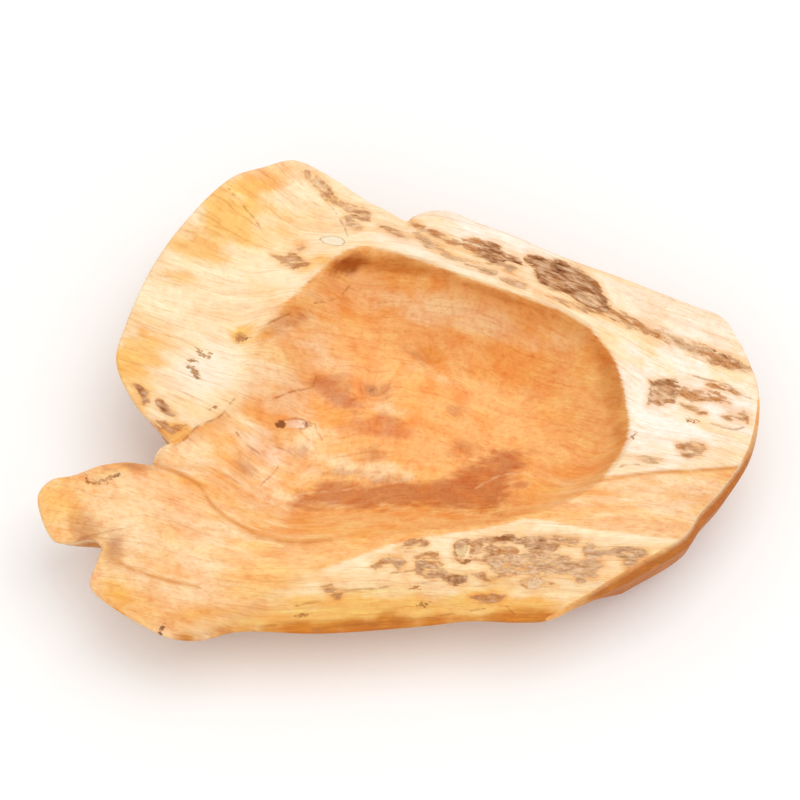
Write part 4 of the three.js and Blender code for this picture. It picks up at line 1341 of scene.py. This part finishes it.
# Lines: half width in millimetres, strength, noise at which they break off, colour
lineLooks = {
    "dark": (1.0, 0.6, 0.38, "#b0651f"),
    "pale": (0.9, 0.36, 0.38, "#fde0b2"),
    # soft: broad orange lines; along the crease they are painted shade, elsewhere the colour of a border
    "soft": (2.0, 0.85, 0.2, "#d98a3c"),
}
lineShake = {
    "size": (3, 1.5),  # length and width of the noise that shakes a line
    "reach": 0.5,  # how far it shakes
    "core": 0.1,  # a line is full this near its middle
    "end": 0.8,  # and ends within this, past its half width
    "break": (7, 3),  # size of the noise that breaks a line
    "whole": 0.55,  # noise from which a line is whole
}
barkLook = {
    "rag": (5.0, 1.2, 2.0),  # length and width of a crumb, and how far it shifts the border, in millimetres
    "blot": (8, 3.5, 3.2),  # the same for blots
    "soft": (-0.35, 0.6),  # millimetres inside at which bark starts and covers
    "fibre": (6.0, 2.8),  # length and width
    "halo": (2.0, -3.2, 0.5, "#f3bf76"),  # shift, millimetres inside at which it starts, strength
    "stops": ((0.36, "#80492a"), (0.46, "#ab754a"), (0.54, "#c8986e"), (0.64, "#eec8a2")),
    "tones": ("#cf8440", "#7e4a20", "#f6d2a8"),  # rust, dark and pale
    "toneFade": (0.72, 1.2, 0.9),  # share and noise at which a tone starts and is full, and strength
    "shade": (1.6, 0.7, 0.5, 0.65, 0.4, "#c88c60"),  # length, width, noise from and to, strength
    "outline": (0.45, 0.45, "#a0622e"),  # half width, strength
}


# Settings of a node that lays one colour over another: share 0, colours 6 and 7
colourMix = {"out": 2, "data_type": "RGBA"}


# The root's colour, from tints, stains, grain, lines and bark in turn; with it come the height for the
# bump and the share of bark
def rootColour(tree):
    grain = addNode(tree, "Attribute", out="Vector", attribute_name="grain")
    seen = {
        label: addNode(tree, "Attribute", out="Fac", attribute_name=label)
        for label in (
            "heartInside", "heartSoft", "barkInside", *(kind + "Inside" for kind in stainKinds),
            *(kind + end for kind in lineKinds for end in ("Line", "Near")),
        )
    }
    colours = {
        label: addNode(tree, "Attribute", out="Vector", attribute_name=label)
        for label in ("sapTint", "heartTint", "barkTone")
    }

    # Noise drawn out along the grain, in millimetres; its own shift keeps it from following another
    def grainNoise(length, width, shift, detail=3.0):
        size = (1 / length, 1 / width, 1 / width)
        place = addNode(tree, "VectorMath", {
            0: grain, 1: size, 2: (shift, 2 * shift, 3 * shift),
        }, operation="MULTIPLY_ADD")
        return addNode(tree, "TexNoise", {
            "Vector": place, "Scale": 1.0, "Detail": detail, "Roughness": grainRough,
        })

    # A distance moved to and fro by noise
    def shifted(value, noise, reach):
        sway = addNode(tree, "MapRange", {"Value": noise, "To Min": -reach, "To Max": reach}, clamp=False)
        return addNode(tree, "Math", {0: value, 1: sway}, operation="ADD")

    ragLength, ragWidth, ragReach = heartRag
    border = shifted(seen["heartInside"], grainNoise(ragLength, ragWidth, 1.3, 4.0), ragReach / 2)
    outer = addNode(tree, "Math", {0: seen["heartSoft"], 1: -1.0}, operation="MULTIPLY")
    heart = addNode(tree, "MapRange", {"Value": border, "From Min": outer, "From Max": seen["heartSoft"]})
    colour = addNode(tree, "Mix", {0: heart, 6: colours["sapTint"], 7: colours["heartTint"]}, **colourMix)

    for kind, (softness, rag, size, strength, tint) in stainLooks.items():
        edge = shifted(seen[kind + "Inside"], grainNoise(*size, 4.7, 5.0), rag)
        share = addNode(tree, "MapRange", {
            "Value": edge, "From Min": -softness, "From Max": softness, "To Max": strength,
        }, interpolation_type="SMOOTHSTEP")
        colour = addNode(tree, "Mix", {0: share, 6: colour, 7: opaque(tint)}, **colourMix)

    heights = {}
    for index, (name, layer) in enumerate(grainLayers.items()):
        length, width, low, high, inSap, inHeart, blend, tint = layer
        heights[name] = grainNoise(length, width, 7.1 * index)
        strength = addNode(tree, "MapRange", {"Value": heart, "To Min": inSap, "To Max": inHeart})
        share = addNode(tree, "MapRange", {
            "Value": heights[name], "From Min": low, "From Max": high, "To Max": strength,
        })
        colour = addNode(tree, "Mix", {0: share, 6: colour, 7: opaque(tint)}, blend_type=blend, **colourMix)

    # Growth lines: contours of the place across the grain, wandering, and fading in and out
    wanderLength, wanderWidth, wanderReach = growthLines["wander"]
    across = addNode(tree, "SeparateXYZ", {0: grain}, 1)
    count = addNode(tree, "Math", {0: across, 1: 1 / growthLines["spacing"]}, operation="MULTIPLY")
    count = shifted(count, grainNoise(wanderLength, wanderWidth, 9.4), wanderReach)
    fold = addNode(tree, "Math", {0: count, 1: 0.5}, operation="PINGPONG")
    line = addNode(tree, "MapRange", {
        "Value": fold, "From Max": growthLines["width"], "To Min": 1.0, "To Max": 0.0,
    })
    inSap, inHeart = growthLines["strength"]
    fadeFrom, fadeTo = growthLines["fade"]
    strength = addNode(tree, "MapRange", {"Value": heart, "To Min": inSap, "To Max": inHeart})
    fade = addNode(tree, "MapRange", {
        "Value": grainNoise(*growthLines["mask"], 2.9), "From Min": fadeFrom, "From Max": fadeTo,
        "To Max": strength,
    })
    share = addNode(tree, "Math", {0: line, 1: fade}, operation="MULTIPLY")
    colour = addNode(tree, "Mix", {
        0: share, 6: colour, 7: opaque(growthLines["colour"]),
    }, blend_type="MULTIPLY", **colourMix)

    lineNoise = grainNoise(*lineShake["size"], 5.3)
    for kind, (halfWidth, strength, breakOff, tint) in lineLooks.items():
        gap = addNode(tree, "Math", {0: seen[kind + "Line"]}, operation="ABSOLUTE")
        gap = shifted(gap, lineNoise, lineShake["reach"])
        drawn = addNode(tree, "MapRange", {
            "Value": gap, "From Min": lineShake["core"], "From Max": halfWidth, "To Min": strength,
            "To Max": 0.0,
        })
        near = addNode(tree, "MapRange", {
            "Value": seen[kind + "Near"], "From Min": halfWidth, "From Max": halfWidth + lineShake["end"],
            "To Min": 1.0, "To Max": 0.0,
        })
        share = addNode(tree, "Math", {0: drawn, 1: near}, operation="MULTIPLY")
        broken = addNode(tree, "MapRange", {
            "Value": grainNoise(*lineShake["break"], 2.2), "From Min": breakOff,
            "From Max": lineShake["whole"],
        })
        share = addNode(tree, "Math", {0: share, 1: broken}, operation="MULTIPLY")
        colour = addNode(tree, "Mix", {0: share, 6: colour, 7: opaque(tint)}, **colourMix)

    # Bark: an amber halo in the wood, a dark border, and fibres that turn rusty, dark or pale
    crumbLength, crumbWidth, crumbReach = barkLook["rag"]
    crumb = grainNoise(crumbLength, crumbWidth, 6.1, 5.0)
    blotLength, blotWidth, blotReach = barkLook["blot"]
    blot = grainNoise(blotLength, blotWidth, 3.7, 4.0)
    haloReach, haloFrom, haloStrength, haloTint = barkLook["halo"]
    halo = addNode(tree, "MapRange", {
        "Value": shifted(seen["barkInside"], blot, haloReach), "From Min": haloFrom, "From Max": 0.0,
        "To Max": haloStrength,
    })
    colour = addNode(tree, "Mix", {
        0: halo, 6: colour, 7: opaque(haloTint),
    }, blend_type="MULTIPLY", **colourMix)
    edge = shifted(shifted(seen["barkInside"], crumb, crumbReach), blot, blotReach)
    softFrom, softTo = barkLook["soft"]
    bark = addNode(tree, "MapRange", {"Value": edge, "From Min": softFrom, "From Max": softTo})
    fibre = grainNoise(*barkLook["fibre"], 8.3, 5.0)
    barkColour = addNode(tree, "ValToRGB", {0: fibre})
    stops = barkColour.node.color_ramp.elements
    while len(stops) < len(barkLook["stops"]):
        stops.new(0.5)
    for stop, (position, tint) in zip(stops, barkLook["stops"]):
        stop.position = position
        stop.color = opaque(tint)
    toneFrom, toneTo, toneStrength = barkLook["toneFade"]
    tones = addNode(tree, "SeparateXYZ", {0: colours["barkTone"]}).node
    for index, tint in enumerate(barkLook["tones"]):
        noise = (blot, fibre, crumb)[index]
        patchy = addNode(tree, "Math", {0: tones.outputs[index], 1: noise}, operation="ADD")
        share = addNode(tree, "MapRange", {
            "Value": patchy, "From Min": toneFrom, "From Max": toneTo, "To Max": toneStrength,
        })
        barkColour = addNode(tree, "Mix", {0: share, 6: barkColour, 7: opaque(tint)}, **colourMix)
    shadeLength, shadeWidth, shadeFrom, shadeTo, shadeStrength, shadeTint = barkLook["shade"]
    barkShade = addNode(tree, "MapRange", {
        "Value": grainNoise(shadeLength, shadeWidth, 1.9, 4.0), "From Min": shadeFrom, "From Max": shadeTo,
        "To Max": shadeStrength,
    })
    barkColour = addNode(tree, "Mix", {
        0: barkShade, 6: barkColour, 7: opaque(shadeTint),
    }, blend_type="MULTIPLY", **colourMix)
    outlineWidth, outlineStrength, outlineTint = barkLook["outline"]
    rimGap = addNode(tree, "Math", {0: edge}, operation="ABSOLUTE")
    rimLine = addNode(tree, "MapRange", {
        "Value": rimGap, "From Max": outlineWidth, "To Min": outlineStrength, "To Max": 0.0,
    })
    rimLine = addNode(tree, "Math", {0: rimLine, 1: blot}, operation="MULTIPLY")
    colour = addNode(tree, "Mix", {0: bark, 6: colour, 7: barkColour}, **colourMix)
    colour = addNode(tree, "Mix", {0: rimLine, 6: colour, 7: opaque(outlineTint)}, **colourMix)
    height = addNode(tree, "Math", {0: heights["fibre"], 1: heights["pore"]}, operation="ADD")
    height = addNode(tree, "Math", {0: bark, 1: crumb, 2: height}, operation="MULTIPLY_ADD")
    return colour, height, bark


# Root wood, carved, sanded and oiled: a soft satin with fine fibres; bark left in it is dry and dull
rootFinish = {"roughness": (0.52, 0.92), "specular": 0.28, "bump": 0.35, "bumpDepth": 0.0006}


# The finish: rougher with the share of bark, with a low bump from the height
def finishRoot(tree, shader, colour, height, bark):
    satin, dry = rootFinish["roughness"]
    rough = addNode(tree, "MapRange", {"Value": bark, "To Min": satin, "To Max": dry})
    bump = addNode(tree, "Bump", {
        "Strength": rootFinish["bump"], "Distance": rootFinish["bumpDepth"], "Height": height,
    })
    shader.inputs["Specular IOR Level"].default_value = rootFinish["specular"]
    for socket, value in (("Base Color", colour), ("Roughness", rough), ("Normal", bump)):
        tree.links.new(value, shader.inputs[socket])


# A material that is the root's own colour and finish
def makeRootMaterial(name):
    material, tree, shader = newMaterial(name)
    finishRoot(tree, shader, *rootColour(tree))
    return material


bowlBody.data.materials.append(makeRootMaterial("oiled_root_wood"))
print("root wood made")

seatedMesh = {
    "pitch": 0.7,
    "least": 16,
    "most": 72,
    "proud": 0.15,
    "dip": (0.5, 0.9),  # depth of its edge, and the reach from which it dips
    "crumb": 1.6,
    "fit": (0.6, 4, 4),  # share of its length and margin that the wood is fitted in, and degree
}


# Height of the uncut wood at a seat: a polynomial of the fourth degree fitted to the carved surface there
def woodUnder(seat):
    seatX, seatY, length = seat[:3]
    share, margin, degree = seatedMesh["fit"]
    reach = share * length + margin
    near = (topX - seatX) ** 2 + (topY - seatY) ** 2 < reach**2
    powers = [(i, j) for i in range(degree + 1) for j in range(degree + 1 - i)]

    def terms(x, y):
        a, b = (x - seatX) / reach, (y - seatY) / reach
        return np.stack([a**i * b**j for i, j in powers], -1)

    fit = np.linalg.lstsq(terms(topX[near], topY[near]), baseZ[near], rcond=None)[0]
    return lambda x, y: terms(x, y) @ fit


# A seated piece: a disc lattice in its wavering outline, with its top in the root's relief and its foot in
# the pocket
def makeSeated(name, kind, seat):
    seatX, seatY, length, width, turn = seat
    steps = int(np.clip(length / seatedMesh["pitch"], seatedMesh["least"], seatedMesh["most"]))
    reach, angle = discLattice(steps)
    radius = reach * seatWaves(seat, kind, angle)
    a, b = radius * np.cos(angle) * length / 2, radius * np.sin(angle) * width / 2
    tilt = math.radians(turn)
    x = seatX + a * math.cos(tilt) - b * math.sin(tilt)
    y = seatY + a * math.sin(tilt) + b * math.cos(tilt)
    wood = woodUnder(seat)(x, y)
    points = np.stack([x, y, wood], -1)
    look = rootLook(points)
    crumbs = layeredNoise(a / seatedMesh["crumb"], b / seatedMesh["crumb"], 91, 3)
    z = wood + reliefAt(points, look) + seatedMesh["proud"] + seatKinds[kind]["crumbs"] * crumbs
    dip, dipFrom = seatedMesh["dip"]
    z = z - dip * smoothStep(dipFrom, 1.0, reach)
    top = np.stack([x, y, z], -1).reshape(-1, 3)
    foot = np.stack([x, y, wood - seatKinds[kind]["body"]], -1).reshape(-1, 3)
    faces, rim = latticeFaces(steps)
    count = len(top)
    wall = np.stack([rim, rim + count, np.roll(rim, -1) + count, np.roll(rim, -1)], -1)
    look["local"] = np.stack([a, b, z - wood], -1)
    look["reach"] = reach
    attributes = {label: np.concatenate([v.reshape(count, *v.shape[2:])] * 2) for label, v in look.items()}
    shell = [faces, faces[:, ::-1] + count, wall]
    piece = makePiece(name + "_piece", np.concatenate([top, foot]), shell, attributes)
    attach(piece, "root")
    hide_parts(name)
    return piece


# Dead branch wood, cut flush: a body with rings and a darker heart, that parts from the wood in a dark line.
# Each has its strength, body, the body's end with softness and raggedness, core, the core's end, rings (count,
# strength, colour) and parting line (strength, colour); one not listed has the colour of the wood round it
knotLooks = {
    "knot_lobe": (0.9, "#dc9c56", (0.8, 0.4, 0.6), "#b5733c", 0.6, (4, 0.5, "#c07c40"), (0.3, "#b87438")),
    "knot_tongue": (0.35, "#e6b98c", (0.8, 0.3, 0.5), "#e2b080", 0.4, (3, 0.2, "#d09a60"), (0.0, "#8a5a30")),
    "knot_hollow": (0.6, "#f0b064", (0.8, 0.3, 0.4), "#eea652", 0.35, (3, 0.4, "#dc9848"), (0.35, "#cf8a40")),
    "knot_swirl": (0.8, "#cf9058", (0.85, 0.35, 0.6), "#a8683c", 0.45, (4, 0.5, "#b07444"), (0.3, "#a06438")),
    "knot_eye": (0.7, "#d68e5a", (0.9, 0.2, 0.25), "#cc7c4a", 0.5, (2, 0.4, "#e4ac78"), (0.5, "#f0c490")),
    "knot_front": (0.95, "#e4c490", (0.9, 0.15, 0.3), "#dfba84", 0.4, (3, 0.2, "#c89c64"), (0.6, "#b57a3c")),
    "fill_lobe": (1.0, "#f3e2c4", (0.86, 0.08, 0.15), "#f1dcba", 0.4, (2, 0.15, "#e2cca4"), (0.7, "#b08c5c")),
}
knotFinish = {"noise": 1.4, "lineWidth": 0.09, "coreFrom": 0.5, "coreStrength": 0.85}


# A knot's material: the root's colour, and over it the body, rings, core and parting line by their reach
def makeKnot(name, look):
    material, tree, shader = newMaterial(name)
    strength, bodyTint, (edge, soft, rag), coreTint, coreEdge, rings, line = look
    ringCount, ringStrength, ringTint = rings
    lineStrength, lineTint = line
    wood, height, bark = rootColour(tree)
    local = addNode(tree, "Attribute", out="Vector", attribute_name="local")
    reach = addNode(tree, "Attribute", out="Fac", attribute_name="reach")
    fine = addNode(tree, "TexNoise", {"Vector": local, "Scale": 1 / knotFinish["noise"], "Detail": 4.0})
    sway = addNode(tree, "MapRange", {"Value": fine, "To Min": -rag, "To Max": rag}, clamp=False)
    out = addNode(tree, "Math", {0: reach, 1: sway}, operation="ADD")
    body = addNode(tree, "MapRange", {
        "Value": out, "From Min": edge - soft, "From Max": edge, "To Min": 1.0, "To Max": 0.0,
    })
    turn = addNode(tree, "Math", {0: out, 1: 2 * math.pi * ringCount}, operation="MULTIPLY")
    wave = addNode(tree, "Math", {0: turn}, operation="SINE")
    ringShare = addNode(tree, "MapRange", {"Value": wave, "To Max": ringStrength})
    core = addNode(tree, "MapRange", {
        "Value": out, "From Min": knotFinish["coreFrom"] * coreEdge, "From Max": coreEdge,
        "To Min": knotFinish["coreStrength"], "To Max": 0.0,
    })
    colour = addNode(tree, "Mix", {0: ringShare, 6: opaque(bodyTint), 7: opaque(ringTint)}, **colourMix)
    colour = addNode(tree, "Mix", {0: core, 6: colour, 7: opaque(coreTint)}, **colourMix)
    bare = addNode(tree, "MapRange", {"Value": bark, "To Min": strength, "To Max": 0.0})
    body = addNode(tree, "Math", {0: body, 1: bare}, operation="MULTIPLY")
    colour = addNode(tree, "Mix", {0: body, 6: wood, 7: colour}, **colourMix)
    parting = addNode(tree, "Math", {0: out, 1: edge - soft / 2}, operation="SUBTRACT")
    parting = addNode(tree, "Math", {0: parting}, operation="ABSOLUTE")
    partingShare = addNode(tree, "MapRange", {
        "Value": parting, "From Max": knotFinish["lineWidth"], "To Min": lineStrength, "To Max": 0.0,
    })
    colour = addNode(tree, "Mix", {0: partingShare, 6: colour, 7: opaque(lineTint)}, **colourMix)
    finishRoot(tree, shader, colour, height, bark)
    return material


# Bark left on the root and brushed clean: dry and dull, with fibres that turn rusty, dark or pale
rootBark = makeRootMaterial("weathered_root_bark")
for name, seat in barkPatches.items():
    makeSeated(name, "bark", seat).data.materials.append(rootBark)
for name, seat in knotPlaces.items():
    piece = makeSeated(name, "knot", seat)
    label = "dead_branch_wood_" + name[5:]
    material = makeKnot(label, knotLooks[name]) if name in knotLooks else makeRootMaterial(label)
    piece.data.materials.append(material)
# Wood dust set in and sanded flush: pale and even, with a thin darker border
for name, seat in fillPlaces.items():
    piece = makeSeated(name, "fill", seat)
    piece.data.materials.append(makeKnot("sanded_dust_filling", knotLooks[name]))
print("seated pieces made")

studio = {
    "floorSize": 6000,
    "floorColour": "#fdfdfc",
    "floorRough": 0.9,
    "floorSpecular": 0.1,
    "skyStrength": 0.72,
    "keyPower": 18,
    "keySize": 1.8,
    "keyPlace": (0.6, 0.35, 2.2),
    "fillPower": 7,
    "fillPlace": (-0.7, -1.1, 2.0),
}


# A matt white floor: one square at height 0, kept out of the part
def makeFloor():
    half = studio["floorSize"] / 2 * toMetres
    mesh = bpy.data.meshes.new("floor")
    corners = [(-half, -half, 0), (half, -half, 0), (half, half, 0), (-half, half, 0)]
    mesh.from_pydata(corners, [], [(0, 1, 2, 3)])
    floor = bpy.data.objects.new("floor", mesh)
    bpy.context.scene.collection.objects.link(floor)
    material, _, shader = newMaterial("matt_white_floor")
    shader.inputs["Base Color"].default_value = opaque(studio["floorColour"])
    shader.inputs["Roughness"].default_value = studio["floorRough"]
    shader.inputs["Specular IOR Level"].default_value = studio["floorSpecular"]
    mesh.materials.append(material)


# A square lamp that faces the bowl
def addLamp(name, place, size, power):
    lamp = bpy.data.lights.new(name, "AREA")
    lamp.size = size
    lamp.energy = power
    holder = bpy.data.objects.new(name, lamp)
    holder.location = place
    target = np.array(photoView["target"]) * toMetres
    away = np.array(place) - target
    tilt = math.atan2(np.hypot(away[0], away[1]), away[2])
    holder.rotation_euler = (tilt, 0, math.atan2(away[0], -away[1]))
    bpy.context.scene.collection.objects.link(holder)


makeFloor()
addLamp("key_lamp", studio["keyPlace"], studio["keySize"], studio["keyPower"])
addLamp("fill_lamp", studio["fillPlace"], studio["keySize"], studio["fillPower"])
sky = bpy.data.worlds.new("studio_sky")
sky.use_nodes = True
skyTree = sky.node_tree
background = skyTree.nodes["Background"]
cameraRay = addNode(skyTree, "LightPath", out="Is Camera Ray")
glossyRay = cameraRay.node.outputs["Is Glossy Ray"]
seen = addNode(skyTree, "Math", {0: cameraRay, 1: glossyRay}, operation="MAXIMUM")
strength = addNode(skyTree, "MapRange", {"Value": seen, "To Min": studio["skyStrength"], "To Max": 1.0})
background.inputs["Color"].default_value = (1, 1, 1, 1)
skyTree.links.new(strength, background.inputs["Strength"])
bpy.context.scene.world = sky

camera = bpy.data.cameras.new("photo_camera")
camera.sensor_width = photoView["sensor"]
camera.lens = focalPixels * photoView["sensor"] / photoView["imageSize"]
cameraHolder = bpy.data.objects.new("photo_camera", camera)
cameraHolder.location = viewEye * toMetres
cameraHolder.rotation_euler = (math.pi / 2 - viewTilt, 0, 0)
bpy.context.scene.collection.objects.link(cameraHolder)
bpy.context.scene.camera = cameraHolder
bpy.context.scene.view_settings.view_transform = "Standard"
print("studio set")
